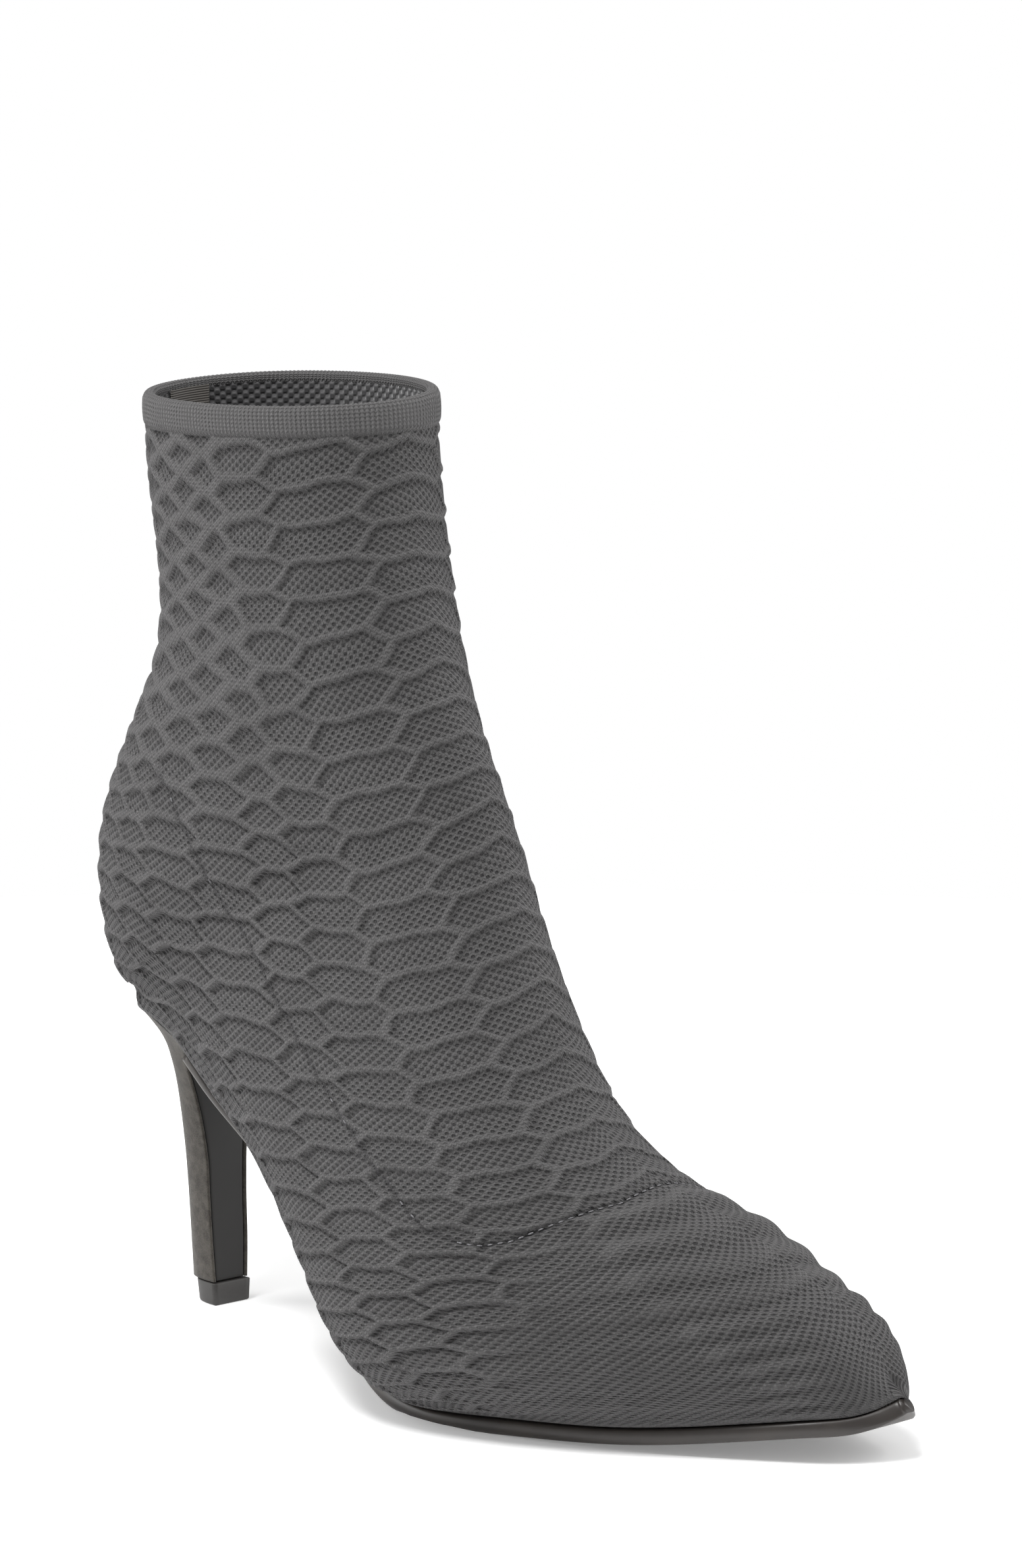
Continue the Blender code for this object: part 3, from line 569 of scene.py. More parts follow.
def toe_cap(points, count=12):
    """Rows that run on from the last row and close the toe's end on the sole."""
    ring = points[-1]
    centre = (ring[0] + ring[-1]) / 2 + np.array([1.3, 0.0, -0.3]) * TOE_FULLNESS * MM
    onward = ring - points[-4]
    span = 61
    padded = np.pad(onward, ((span // 2, span // 2), (0, 0)), mode="edge")
    onward = np.stack([np.convolve(padded[:, k], np.ones(span) / span, mode="valid") for k in range(3)], axis=1)
    onward /= np.maximum(np.linalg.norm(onward, axis=1, keepdims=True), 1e-9)
    reach = np.linalg.norm(centre - ring, axis=1, keepdims=True)
    middle = ring + onward * reach * 0.5
    rows = []
    for share in np.linspace(0, 1, count + 1)[1:]:
        rows.append(ring * (1 - share) ** 2 + middle * 2 * share * (1 - share) + centre * share ** 2)
    return np.array(rows)


def grid_normals(points, shut):
    """Vertex normals of a grid; rows where shut is true are closed at the back seam."""
    a = points[1:, 1:] - points[:-1, :-1]
    b = points[1:, :-1] - points[:-1, 1:]
    face = np.cross(a, b)
    normal = np.zeros_like(points)
    for i in (slice(None, -1), slice(1, None)):
        for j in (slice(None, -1), slice(1, None)):
            normal[i, j] += face
    back = normal[shut, 0] + normal[shut, -1]
    normal[shut, 0] = back
    normal[shut, -1] = back
    return normal / np.maximum(np.linalg.norm(normal, axis=-1, keepdims=True), 1e-15)


def build_knit(material):
    v, s, rho, points, shades = knit_grid()
    cap = toe_cap(points)
    extra = len(cap)
    points = np.concatenate([points, cap])
    more = lambda grid: np.concatenate([grid, np.repeat(grid[-1:], extra, axis=0)])
    v, s, rho = map(more, (v, s, rho))
    shades = {key: more(values) for key, values in shades.items()}
    shut = v[:, 0] <= SEAT
    normals = grid_normals(points, shut)
    if np.sum(normals[100, KNIT_HALF] * outward(v[100, KNIT_HALF], 0.5)) < 0:
        normals = -normals
    cuts = np.linspace(0, len(v) - 1, KNIT_PIECES + 1).astype(int)
    names = ["knit_shaft", "knit_ankle", "knit_instep", "knit_toe"]
    width = points.shape[1]
    for name, first, last in zip(names, cuts, cuts[1:]):
        part = slice(first, last + 1)
        count = last + 1 - first
        faces = grid_faces(count, width, flip=True)
        item = add_mesh(name, points[part].reshape(-1, 3), faces, material,
                        uv=np.stack([s[part].ravel(), rho[part].ravel()], axis=-1),
                        attributes={key: values[part].ravel() for key, values in shades.items()},
                        normals=normals[part].reshape(-1, 3))
        dress(item, "upper")


def across_to(v, s):
    """q of the place s millimetres from the front's middle line."""
    q = 0.5 + math.copysign(0.5, s) * np.linspace(0.0, 1.0, 401)
    run = lengths(skin(np.full(len(q), v), q)) / MM
    return float(np.interp(abs(s), run, q))


def stitch_path():
    """Evenly spaced places on the lining's top edge with the thread's run, the surface's normal and a sparse flag."""
    places = [p[0] for p in TOPLINE]
    sides = [p[1] for p in TOPLINE]
    points, along, out, sparse = [], [], [], []
    for side in (-1.0, 1.0):
        s = np.linspace(0.3, sides[-1], 260)
        v = np.interp(s, sides, places)
        q = np.array([across_to(a, side * b) for a, b in zip(v, s)])
        line = skin(v, q)
        run = lengths(line) / MM
        wanted = np.arange(STITCH_PITCH / 2, run[-1], STITCH_PITCH)
        v, q, s = (np.interp(wanted, run, values) for values in (v, q, s))
        here = np.stack([np.interp(wanted, run, line[:, k]) for k in range(3)], axis=-1)
        normal = outward(v, q)
        points.append(here + normal * STITCH_LIFT)
        along.append(np.gradient(here, axis=0))
        out.append(normal)
        sparse.append((s > 43).astype(float))
    return tuple(np.concatenate(values) for values in (points, along, out, sparse))


def stitch_nodes(material):
    """Geometry nodes: a short thread on every point, laid along the seam; some are left out where it is sparse."""
    tree = bpy.data.node_groups.new("seam stitches", "GeometryNodeTree")
    tree.interface.new_socket(name="Geometry", in_out="INPUT", socket_type="NodeSocketGeometry")
    for name, value in (("Stitch Length", 1.3 * MM), ("Thread Width", 0.38 * MM), ("Left Out", 0.85)):
        tree.interface.new_socket(name=name, in_out="INPUT", socket_type="NodeSocketFloat").default_value = value
    tree.interface.new_socket(name="Geometry", in_out="OUTPUT", socket_type="NodeSocketGeometry")
    given = tree.nodes.new("NodeGroupInput").outputs
    thread = put(tree, "GeometryNodeMeshUVSphere", {"Segments": 10, "Rings": 8, "Radius": 0.5}).outputs["Mesh"]
    flat = calc(tree, "MULTIPLY", given["Thread Width"], 0.75)
    size = put(tree, "ShaderNodeCombineXYZ", {0: given["Stitch Length"], 1: given["Thread Width"], 2: flat}).outputs[0]
    vector = lambda name: put(tree, "GeometryNodeInputNamedAttribute", {"Name": name},
                              data_type="FLOAT_VECTOR").outputs["Attribute"]
    lie = put(tree, "FunctionNodeAlignRotationToVector", {"Vector": vector("along")}, axis="X").outputs[0]
    lie = put(tree, "FunctionNodeAlignRotationToVector", {"Rotation": lie, "Vector": vector("out")},
              axis="Z", pivot_axis="X").outputs[0]
    sparse = put(tree, "GeometryNodeInputNamedAttribute", {"Name": "sparse"}, data_type="FLOAT").outputs["Attribute"]
    chance = put(tree, "FunctionNodeRandomValue", {"Seed": 7}, data_type="FLOAT").outputs["Value"]
    limit = calc(tree, "MULTIPLY", sparse, given["Left Out"])
    keep = put(tree, "FunctionNodeCompare", {"A": chance, "B": limit}, data_type="FLOAT",
               operation="GREATER_EQUAL").outputs[0]
    laid = put(tree, "GeometryNodeInstanceOnPoints", {
        "Points": given["Geometry"], "Selection": keep, "Instance": thread, "Rotation": lie, "Scale": size})
    real = put(tree, "GeometryNodeRealizeInstances", {"Geometry": laid.outputs[0]}).outputs[0]
    smooth = put(tree, "GeometryNodeSetShadeSmooth", {"Geometry": real}).outputs[0]
    done = put(tree, "GeometryNodeSetMaterial", {"Geometry": smooth, "Material": material}).outputs[0]
    tree.links.new(done, tree.nodes.new("NodeGroupOutput").inputs["Geometry"])
    return tree


def build_stitches(material):
    """Thread stitches where the lining's top edge shows through the knit."""
    points, along, out, sparse = stitch_path()
    mesh = bpy.data.meshes.new("stitch_points")
    mesh.from_pydata(points.tolist(), [], [])
    for name, values in (("along", along), ("out", out)):
        mesh.attributes.new(name, "FLOAT_VECTOR", "POINT").data.foreach_set("vector", values.ravel())
    mesh.attributes.new("sparse", "FLOAT", "POINT").data.foreach_set("value", sparse)
    source = bpy.data.objects.new("stitch_points", mesh)
    bpy.context.scene.collection.objects.link(source)
    modifier = source.modifiers.new("Stitches", "NODES")
    modifier.node_group = stitch_nodes(material)
    shown = source.evaluated_get(bpy.context.evaluated_depsgraph_get())
    made = bpy.data.meshes.new_from_object(shown)
    item = bpy.data.objects.new("topline_stitches", made)
    bpy.context.scene.collection.objects.link(item)
    bpy.data.objects.remove(source)
    dress(item, "upper")


def build_lining(material):
    """The knit's inner face, from the cuff down to the toe."""
    rows = np.linspace(place_below_collar(1.5 * MM), LAST - 0.6, 150)
    q, s = even_columns(rows, 60)
    v = np.broadcast_to(rows[:, None], q.shape)
    points = wall_point(v, q, np.full(v.shape, UPPER_WALL))
    down = down_from_collar(v, s)
    item = add_mesh("knit_inside", points.reshape(-1, 3), grid_faces(*v.shape, flip=True), material,
                    uv=np.stack([s.ravel(), down.ravel()], axis=-1))
    dress(item, "upper")


CUFF_RIBS = 200
CUFF_RIB_DEPTH = 0.16 * MM
CUFF_INSIDE = 1.9 * MM


def build_cuff(material):
    """The fine-ribbed band at the collar: up the outside, rolled over the edge and down the inside."""
    around = CUFF_RIBS * 6
    fine = np.linspace(0.0, 1.0, 2001)
    run = lengths(skin(0.3, fine))
    q = np.interp(np.linspace(0, run[-1], around, endpoint=False), run, fine)
    s = np.linspace(-run[-1] / 2, run[-1] / 2, around, endpoint=False) / MM
    wave = 0.5 + 0.5 * np.cos(2 * math.pi * np.arange(around) * CUFF_RIBS / around)
    wall = UPPER_WALL + CUFF_STEP
    radius = wall / 2
    outside = np.concatenate([[CUFF_HEIGHT + 0.9 * MM, CUFF_HEIGHT + 0.45 * MM, CUFF_HEIGHT + 0.1 * MM],
                              np.linspace(CUFF_HEIGHT - 0.4 * MM, radius, 12)])
    top = skin(0.0, q)
    up = top - skin(0.05, q)
    up /= np.linalg.norm(up, axis=1, keepdims=True)
    normal = outward(0.0, q)
    rows, runs, ribs = [], [], []
    travelled = 0.0
    for k, below in enumerate(outside):
        v = place_below_collar(below)
        grow = CUFF_STEP + 0.25 * MM * math.sin(math.pi * min(1.0, below / CUFF_HEIGHT))
        grow *= (0.0, 0.55, 0.9)[k] if k < 3 else 1.0
        rib = 1.0 if below < CUFF_HEIGHT else 0.5
        out = grow + CUFF_RIB_DEPTH * wave * rib - CUFF_RIB_DEPTH / 2
        rows.append(skin(np.full(around, v), q) + outward(v, q) * out[:, None])
        runs.append(below)
        ribs.append(wave * rib)
    middle = top - normal * (UPPER_WALL - CUFF_STEP) / 2 - up * radius
    for k in range(1, 10):
        angle = math.pi * k / 10
        swell = radius + CUFF_RIB_DEPTH * (wave - 0.5) * 0.7
        rows.append(middle + normal * (np.cos(angle) * swell)[:, None] + up * (np.sin(angle) * swell)[:, None])
        runs.append(radius * (1 - angle))
        ribs.append(wave * 0.7)
    for below in np.linspace(radius, CUFF_INSIDE, 8):
        v = place_below_collar(below)
        depth = UPPER_WALL + CUFF_RIB_DEPTH * wave * 0.8
        rows.append(wall_point(np.full(around, v), q, depth))
        runs.append(-below - radius * 2)
        ribs.append(wave * 0.8)
    points = np.array(rows)
    run_grid = np.repeat(np.array(runs)[:, None] / MM, around, axis=1)
    uv = np.stack([np.broadcast_to(s, run_grid.shape).ravel(), run_grid.ravel()], axis=-1)
    item = add_mesh("cuff", points.reshape(-1, 3), grid_faces(len(rows), around, closed=True, flip=True), material,
                    uv=uv, attributes={"ridge": np.array(ribs).ravel()})
    dress(item, "upper")


# Bottom of the boot

def bottom_line():
    """The last's bottom from the seat's rear to the toe: place, x, z and length so far."""
    v = np.concatenate([seat_places(40), np.linspace(SEAT + 1.0, LAST, 400)[1:]])
    s = section_at(v)
    run = np.concatenate([[0.0], np.cumsum(np.hypot(np.diff(s["back_x"]), np.diff(s["back_z"])))])
    return v, s["back_x"], s["back_z"], run


LINE_V, LINE_X, LINE_Z, LINE_RUN = bottom_line()


def on_bottom(run, y, drop):
    """A point under the last: this far along its bottom, at this y, and this far below it."""
    x = np.interp(run, LINE_RUN, LINE_X)
    z = np.interp(run, LINE_RUN, LINE_Z)
    beyond = run - np.clip(run, 0.0, LINE_RUN[-1])
    h = 0.002
    clipped = np.clip(run, h, LINE_RUN[-1] - h)
    dx = np.interp(clipped + h, LINE_RUN, LINE_X) - np.interp(clipped - h, LINE_RUN, LINE_X)
    dz = np.interp(clipped + h, LINE_RUN, LINE_Z) - np.interp(clipped - h, LINE_RUN, LINE_Z)
    size = np.hypot(dx, dz)
    dx, dz = dx / size, dz / size
    return np.stack([x + dx * beyond + dz * drop, y + 0.0 * x, z + dz * beyond - dx * drop], axis=-1)


def outline(v, side, inset):
    """Length along the bottom and y of the sole's edge at the places v, moved in by inset."""
    v = np.asarray(v, float)

    def edge(w):
        s = section_at(w)
        half = s["edge_out"] if side < 0 else s["edge_in"]
        return np.stack([np.interp(w, LINE_V, LINE_RUN), s["swing"] + side * half], axis=-1)

    here = edge(v)
    small = 0.004
    ahead = edge(np.minimum(v + small, LAST)) - edge(np.maximum(v - small, SEAT))
    ahead /= np.linalg.norm(ahead, axis=-1, keepdims=True)
    inward = np.stack([ahead[..., 1], -ahead[..., 0]], axis=-1) * side
    inward[v <= SEAT] = (1.0, 0.0)
    return here + inward * inset


def toe_places(count):
    """Places over the last two sections, closer together towards the toe's end."""
    left = 1.0 - np.arange(1, count + 1) / count
    return LAST - 2 * left ** 1.3


def sole_thickness(v):
    t = smooth_step((v - WAIST_FROM) / (WAIST_TO - WAIST_FROM))
    return CLEARANCE + WAIST_THICKNESS + (SOLE_THICKNESS - WAIST_THICKNESS) * t


def plate(name, places, inset, top, low, material, floor=None, tuck=0.0, side_points=7, across=14):
    """A plate under or inside the last with rounded sides: a ring of points at each place, closed at its ends."""
    rings = []
    uv = []
    for v in places:
        v1 = np.array([v])
        here = inset * (1.0 - TOE_DRAW * float(smooth_step((v - 15.5) / 1.5)))
        here += tuck * float(smooth_step((13.0 - v) / 1.4))
        left = outline(v1, -1, here)[0]
        right = outline(v1, 1, here)[0]
        t, b = float(top(v)), float(low(v))
        r = (b - t) / 2
        if right[1] - left[1] < 2.2 * r:
            middle = (left + right) / 2
            left = middle - (0.0, 1.1 * r)
            right = middle + (0.0, 1.1 * r)
        ahead = right - left
        ahead /= np.linalg.norm(ahead)
        ring = []
        # round the outer side, over the underside, round the inner side and back over the top
        for angle in np.linspace(math.pi / 2, -math.pi / 2, side_points):
            shrink = r * 0.45 * (1 - math.cos(angle))
            ring.append((left + ahead * shrink, t + r - math.sin(angle) * r * 1.0))
        under = np.linspace(0, 1, across)[1:-1]
        edge_l, edge_r = left + ahead * r * 0.45, right - ahead * r * 0.45
        ring += [(edge_l + (edge_r - edge_l) * w, b) for w in under]
        for angle in np.linspace(-math.pi / 2, math.pi / 2, side_points):
            shrink = r * 0.45 * (1 - math.cos(angle))
            ring.append((right - ahead * shrink, t + r - math.sin(angle) * r * 1.0))
        ring += [(edge_r + (edge_l - edge_r) * w, t) for w in under]
        flat = np.array([p for p, _ in ring])
        drop = np.array([d for _, d in ring])
        row = on_bottom(flat[:, 0], flat[:, 1], drop)
        if floor is not None:
            row[:, 2] = np.maximum(row[:, 2], floor)
        rings.append(toe_pulled(row))
        uv.append(np.column_stack([flat[:, 0] / MM, flat[:, 1] / MM]))
    n = len(rings[0])
    faces = grid_faces(len(rings), n, closed=True).tolist()
    faces += [list(range(n))[::-1], [(len(rings) - 1) * n + j for j in range(n)]]
    return add_mesh(name, np.concatenate(rings), faces, material, uv=np.concatenate(uv))


def build_outsole(material):
    start = float(np.interp(BREAST_REACH + CLEARANCE, LINE_X - LINE_X[0], LINE_V))
    places = np.concatenate([np.linspace(start, LAST - 2, 120), toe_places(28)])
    item = plate("sole", places, -SOLE_MARGIN, lambda v: CLEARANCE, sole_thickness, material, floor=0.0,
                 tuck=WAIST_TUCK)
    dress(item, "outsole")


def build_insole(material):
    places = np.concatenate([seat_places(24)[1:], np.linspace(SEAT + 1.05, LAST - 0.5, 90)])
    item = plate("sock_lining", places, UPPER_WALL + INSOLE_PLAY, lambda v: -INSOLE_THICKNESS, lambda v: 0.0,
                 material)
    dress(item, "insole")


def build_tape(material):
    """The ribbon over the back seam, inside the shaft."""
    rows = np.linspace(place_below_collar(TAPE_DROP), 4.0, 90)
    thick = 0.5 * TAPE_THICKNESS
    profile = [(-1.0, 0.0), (-1.0, 0.8), (-0.96, 1.0)]
    profile += [(w, 1.0) for w in np.linspace(-0.88, 0.88, 13)]
    profile += [(0.96, 1.0), (1.0, 0.8), (1.0, 0.0)]
    points, uv = [], []
    for v in rows:
        q = np.linspace(0.0, 0.25, 61)
        run = lengths(skin(v, q))
        across = np.array([p[0] for p in profile])
        spread = np.sign(across) * np.interp(np.abs(across) * TAPE_WIDTH / 2, run, q)
        depth = UPPER_WALL + TAPE_GAP + np.array([p[1] for p in profile]) * 2 * thick
        points.append(wall_point(np.full(len(profile), v), spread % 1.0, depth))
        uv.append(np.column_stack([across * TAPE_WIDTH / 2 / MM, np.full(len(profile), 0.0)]))
    points = np.array(points)
    down = lengths(points[:, len(profile) // 2]) / MM
    uv = np.array(uv)
    uv[..., 1] = down[:, None]
    faces = grid_faces(len(rows), len(profile), flip=True)
    item = add_mesh("back_tape", points.reshape(-1, 3), faces, material, uv=uv.reshape(-1, 2))
    dress(item, "seam_tape")


# Heel

def softened(t, places, values):
    """The value at t, softened by a mean over a short stretch except at the two ends."""
    stretch = np.clip(t + np.linspace(-RING_SOFTENING, RING_SOFTENING, 9), 0.0, 1.0)
    mean = float(np.mean(np.interp(stretch, places, values)))
    plain = float(np.interp(t, places, values))
    blend = min(1.0, min(t, 1.0 - t) / RING_SOFTENING)
    return plain * (1 - blend) + mean * blend


def heel_ring(t):
    """The heel's ring at share t of its height, between the rows of HEEL_RINGS."""
    heights = [r.height for r in HEEL_RINGS] + [1.0]
    rear_end = HEEL_OVERHANG - SECTIONS[SEAT].back_x * FOOT_LENGTH - SEAT_INSET
    seat = section_at(SEAT + 1.0)
    top = dict(slope=1.0, rear=rear_end, front=BREAST_REACH - rear_end - SEAT_INSET,
               half=float(seat["edge_out"]) - SEAT_INSET, square=SEAT_SQUARE)
    out = {}
    for name in ("slope", "rear", "front", "half", "square"):
        size = SEAT_HEIGHT if name in ("rear", "front", "half") else 1.0
        column = [getattr(r, name) * size for r in HEEL_RINGS] + [top[name]]
        out[name] = softened(t, heights, column)
    return out


def heel_height(x):
    """The height of the heel's top under the last at this x."""
    return np.interp(x, LINE_X, LINE_Z) - CLEARANCE


def ring_points(t, inset, angle):
    """Points of the heel's sides and back at share t: angle runs 0 at the breast's outer edge to pi at its inner."""
    ring = heel_ring(t)
    power = 2.0 / ring["square"]
    back = ring["rear"] + ring["front"] - inset
    half = ring["half"] - inset
    x = ring["front"] - back * np.abs(np.sin(angle)) ** power
    y = -half * np.sign(np.cos(angle)) * np.abs(np.cos(angle)) ** power
    foot = TIP_HEIGHT + CLEARANCE
    middle = heel_height(0.0)
    level = foot + t * (middle - foot)
    z = level + ring["slope"] * (heel_height(x) - middle)
    return np.stack([x, y, z], axis=-1)


def even_angles(t, inset, count):
    """Angles that space the ring's points evenly."""
    angle = np.linspace(0.0, math.pi, 721)
    run = lengths(ring_points(t, inset, angle))
    return np.interp(np.linspace(0, run[-1], count), run, angle)


def closed_loft(name, rings, material, uv=None):
    """Closed rings joined side to side and shut at both ends."""
    n = len(rings[0])
    faces = grid_faces(len(rings), n, closed=True).tolist()
    faces += [list(range(n))[::-1], [(len(rings) - 1) * n + j for j in range(n)]]
    return add_mesh(name, np.concatenate(rings), faces, material, uv=uv)


def build_heel_core(material):
    inset = WRAP_THICKNESS + CLEARANCE
    rings = []
    for t in np.linspace(0.0, 1.0, 64):
        curve = ring_points(t, inset, even_angles(t, inset, 64))
        breast = curve[-1] + (curve[0] - curve[-1]) * np.linspace(0, 1, 14)[1:-1, None]
        rings.append(np.concatenate([curve, breast]))
    item = closed_loft("heel_core", rings, material)
    bevel_ends(item)
    dress(item, "heel")


def build_heel_cover(material):
    """Microsuede drawn round the heel's sides and back, its front edges folded round."""
    rings = []
    for t in np.linspace(0.0, 1.0, 72):
        angle = even_angles(t, 0.0, 72)
        outer = ring_points(t, 0.0, angle)
        inner = ring_points(t, WRAP_THICKNESS, even_angles(t, WRAP_THICKNESS, 72))
        fold = []
        for a, b in ((outer[-1], inner[-1]), (inner[0], outer[0])):
            middle = (a + b) / 2
            half = np.linalg.norm(a - b) / 2
            fold.append([middle + (a - middle) * math.cos(w) + np.array([half * 0.9, 0, 0]) * math.sin(w)
                         for w in np.linspace(0, math.pi, 7)[1:-1]])
        rings.append(np.concatenate([outer, fold[0], inner[::-1], fold[1]]))
    item = closed_loft("heel_cover", rings, material)
    dress(item, "heel_wrap")


def bevel_ends(item, width=0.25 * MM):
    """A small rounded edge where the sharp edges meet."""
    bevel = item.modifiers.new("Edges", "BEVEL")
    bevel.width = width
    bevel.segments = 2
    bevel.limit_method = "ANGLE"
    bevel.angle_limit = math.radians(50)


def build_tip(material):
    rings = []
    for z, grow, inset in ((0.0, 0.0, 0.45 * MM), (0.12 * MM, 0.0, 0.16 * MM), (0.45 * MM, 0.0, 0.0),
                           (0.5 * TIP_HEIGHT, TIP_FLARE / 2, 0.0), (TIP_HEIGHT - 0.3 * MM, TIP_FLARE, 0.0),
                           (TIP_HEIGHT - 0.1 * MM, TIP_FLARE, 0.1 * MM), (TIP_HEIGHT, TIP_FLARE, 0.35 * MM)):
        angle = np.linspace(0.0, math.pi, 49)
        power = 2.0 / HEEL_RINGS[0].square
        length = TIP_LENGTH + grow - 2 * inset
        half = TIP_WIDTH / 2 + grow / 2 - inset
        x = TIP_LENGTH / 2 - inset - length * np.abs(np.sin(angle)) ** power
        y = -half * np.sign(np.cos(angle)) * np.abs(np.cos(angle)) ** power
        curve = np.stack([x, y, np.full(len(x), z)], axis=-1)
        front = curve[-1] + (curve[0] - curve[-1]) * np.linspace(0, 1, 10)[1:-1, None]
        rings.append(np.concatenate([curve, front]))
    item = closed_loft("top_piece", rings, material)
    dress(item, "heel_tip")


# Materials

def linear(code):
    """Linear colour from an sRGB hex code."""
    parts = [int(code[i:i + 2], 16) / 255 for i in (1, 3, 5)]
    return tuple(c / 12.92 if c <= 0.04045 else ((c + 0.055) / 1.055) ** 2.4 for c in parts) + (1.0,)


def put(tree, kind, inputs=None, **settings):
    """Adds a node, sets its settings, and sets or links its inputs."""
    made = tree.nodes.new(kind)
    for key, value in settings.items():
        setattr(made, key, value)
    for key, value in (inputs or {}).items():
        if isinstance(value, bpy.types.NodeSocket):
            tree.links.new(value, made.inputs[key])
        else:
            made.inputs[key].default_value = value
    return made


def calc(tree, operation, a, b=0.0, clamp=False):
    return put(tree, "ShaderNodeMath", {0: a, 1: b}, operation=operation, use_clamp=clamp).outputs[0]


def blend_colour(tree, factor, a, b, mode="MIX"):
    made = put(tree, "ShaderNodeMix", {"Factor": factor}, data_type="RGBA", blend_type=mode)
    for socket, value in ((made.inputs[6], a), (made.inputs[7], b)):
        if isinstance(value, bpy.types.NodeSocket):
            tree.links.new(value, socket)
        else:
            socket.default_value = value
    return made.outputs[2]


def ramp(tree, value, low, high, smooth=True):
    """0 at low to 1 at high."""
    kind = "SMOOTHSTEP" if smooth else "LINEAR"
    return put(tree, "ShaderNodeMapRange", {"Value": value, "From Min": low, "From Max": high},
               interpolation_type=kind).outputs[0]


def noise(tree, vector, scale, detail=3.0, roughness=0.5):
    return put(tree, "ShaderNodeTexNoise", {"Vector": vector, "Scale": scale, "Detail": detail,
                                            "Roughness": roughness}).outputs["Fac"]


def new_material(name):
    material = bpy.data.materials.new(name)
    material.use_nodes = True
    tree = material.node_tree
    return material, tree, tree.nodes["Principled BSDF"]


def set_shader(tree, shader, values):
    for key, value in values.items():
        if isinstance(value, bpy.types.NodeSocket):
            tree.links.new(value, shader.inputs[key])
        else:
            shader.inputs[key].default_value = value


STITCH = 1.15


def yarn_places(tree):
    """s and rho in millimetres from the piece's own UV map, and the object's own places in millimetres."""
    uv = put(tree, "ShaderNodeUVMap", uv_map="Yarn")
    parts = put(tree, "ShaderNodeSeparateXYZ", {0: uv.outputs[0]})
    place = put(tree, "ShaderNodeTexCoord").outputs["Object"]
    in_mm = put(tree, "ShaderNodeVectorMath", {0: place, 1: (1000.0, 1000.0, 1000.0)}, operation="MULTIPLY")
    return uv.outputs[0], parts.outputs[0], parts.outputs[1], in_mm.outputs[0]


def lattice(tree, s, rho, wide, high):
    """Cosine lattice with peaks at staggered places, -1 to 1."""
    a = calc(tree, "COSINE", calc(tree, "MULTIPLY", s, math.pi / wide))
    b = calc(tree, "COSINE", calc(tree, "MULTIPLY", rho, math.pi / high))
    return calc(tree, "MULTIPLY", a, b)


def chevrons(tree, s, rho, wide, high, lean):
    """Rows of V stitches, 0 to 1."""
    share = calc(tree, "FRACT", calc(tree, "DIVIDE", s, wide))
    away = calc(tree, "ABSOLUTE", calc(tree, "SUBTRACT", share, 0.5))
    phase = calc(tree, "ADD", calc(tree, "DIVIDE", rho, high), calc(tree, "MULTIPLY", away, lean))
    wave = calc(tree, "COSINE", calc(tree, "MULTIPLY", phase, 2 * math.pi))
    body = calc(tree, "MULTIPLY", calc(tree, "ADD", wave, 1.0), 0.5)
    seam = ramp(tree, calc(tree, "SUBTRACT", 0.5, away), 0.0, 0.12)
    middle = ramp(tree, away, 0.0, 0.09)
    return calc(tree, "MULTIPLY", calc(tree, "MULTIPLY", body, seam), middle)


def knit_material():
    """Wool and viscose rib knit, grey melange: dark open cells between light jersey ridges, with painted shade in the
    hollow under each ridge.
    """
    material, tree, shader = new_material("grey honeycomb knit")
    uv, s, rho, place = yarn_places(tree)
    ridge = put(tree, "ShaderNodeAttribute", attribute_name="ridge").outputs["Fac"]
    groove = put(tree, "ShaderNodeAttribute", attribute_name="groove").outputs["Fac"]
    hollow_and_painted_shade = put(tree, "ShaderNodeAttribute", attribute_name="hollow_and_painted_shade").outputs["Fac"]
    on_ridge = ramp(tree, ridge, 0.3, 0.85)
    holes = ramp(tree, lattice(tree, s, rho, STITCH, STITCH * 0.8), -0.1, 0.65)
    floor_holes = calc(tree, "MULTIPLY", holes, calc(tree, "SUBTRACT", 1.0, on_ridge))
    stitches = chevrons(tree, s, rho, STITCH, STITCH * 0.75, 1.2)
    fleck = noise(tree, place, 2.6, 4.0, 0.7)
    cloud = noise(tree, place, 0.09, 2.0)
    colour = blend_colour(tree, on_ridge, linear("#4d4c4c"), linear("#545353"))
    # Painted shade: the hollow just below each ridge is darkened, standing in for the ridge's shadow.
    colour = blend_colour(tree, calc(tree, "MULTIPLY", hollow_and_painted_shade, 0.5), colour, linear("#2a2929"))
    colour = blend_colour(tree, calc(tree, "MULTIPLY", floor_holes, 0.95), colour, linear("#121112"))
    colour = blend_colour(tree, calc(tree, "MULTIPLY", calc(tree, "MULTIPLY", holes, on_ridge), 0.4), colour,
                          linear("#161517"))
    light = ramp(tree, fleck, 0.3, 0.75, smooth=False)
    colour = blend_colour(tree, calc(tree, "MULTIPLY", light, 0.25), colour, linear("#777676"))
    dim = calc(tree, "MULTIPLY", ramp(tree, cloud, 0.35, 0.75), 0.16)
    colour = blend_colour(tree, dim, colour, linear("#2a2929"))
    colour = blend_colour(tree, calc(tree, "MULTIPLY", groove, 0.6), colour, linear("#1c1b1d"))
    low = calc(tree, "MULTIPLY", floor_holes, -1.0)
    height = calc(tree, "ADD", calc(tree, "MULTIPLY", stitches, 0.5), low)
    height = calc(tree, "ADD", height, calc(tree, "MULTIPLY", fleck, 0.25))
    bump = put(tree, "ShaderNodeBump", {"Strength": 1.0, "Distance": 0.0005, "Height": height})
    set_shader(tree, shader, {
        "Base Color": colour, "Roughness": 0.92, "Normal": bump.outputs[0], "Specular IOR Level": 0.25,
        "Sheen Weight": 0.22, "Sheen Roughness": 0.4, "Sheen Tint": linear("#c8c6c8"),
    })
    return material


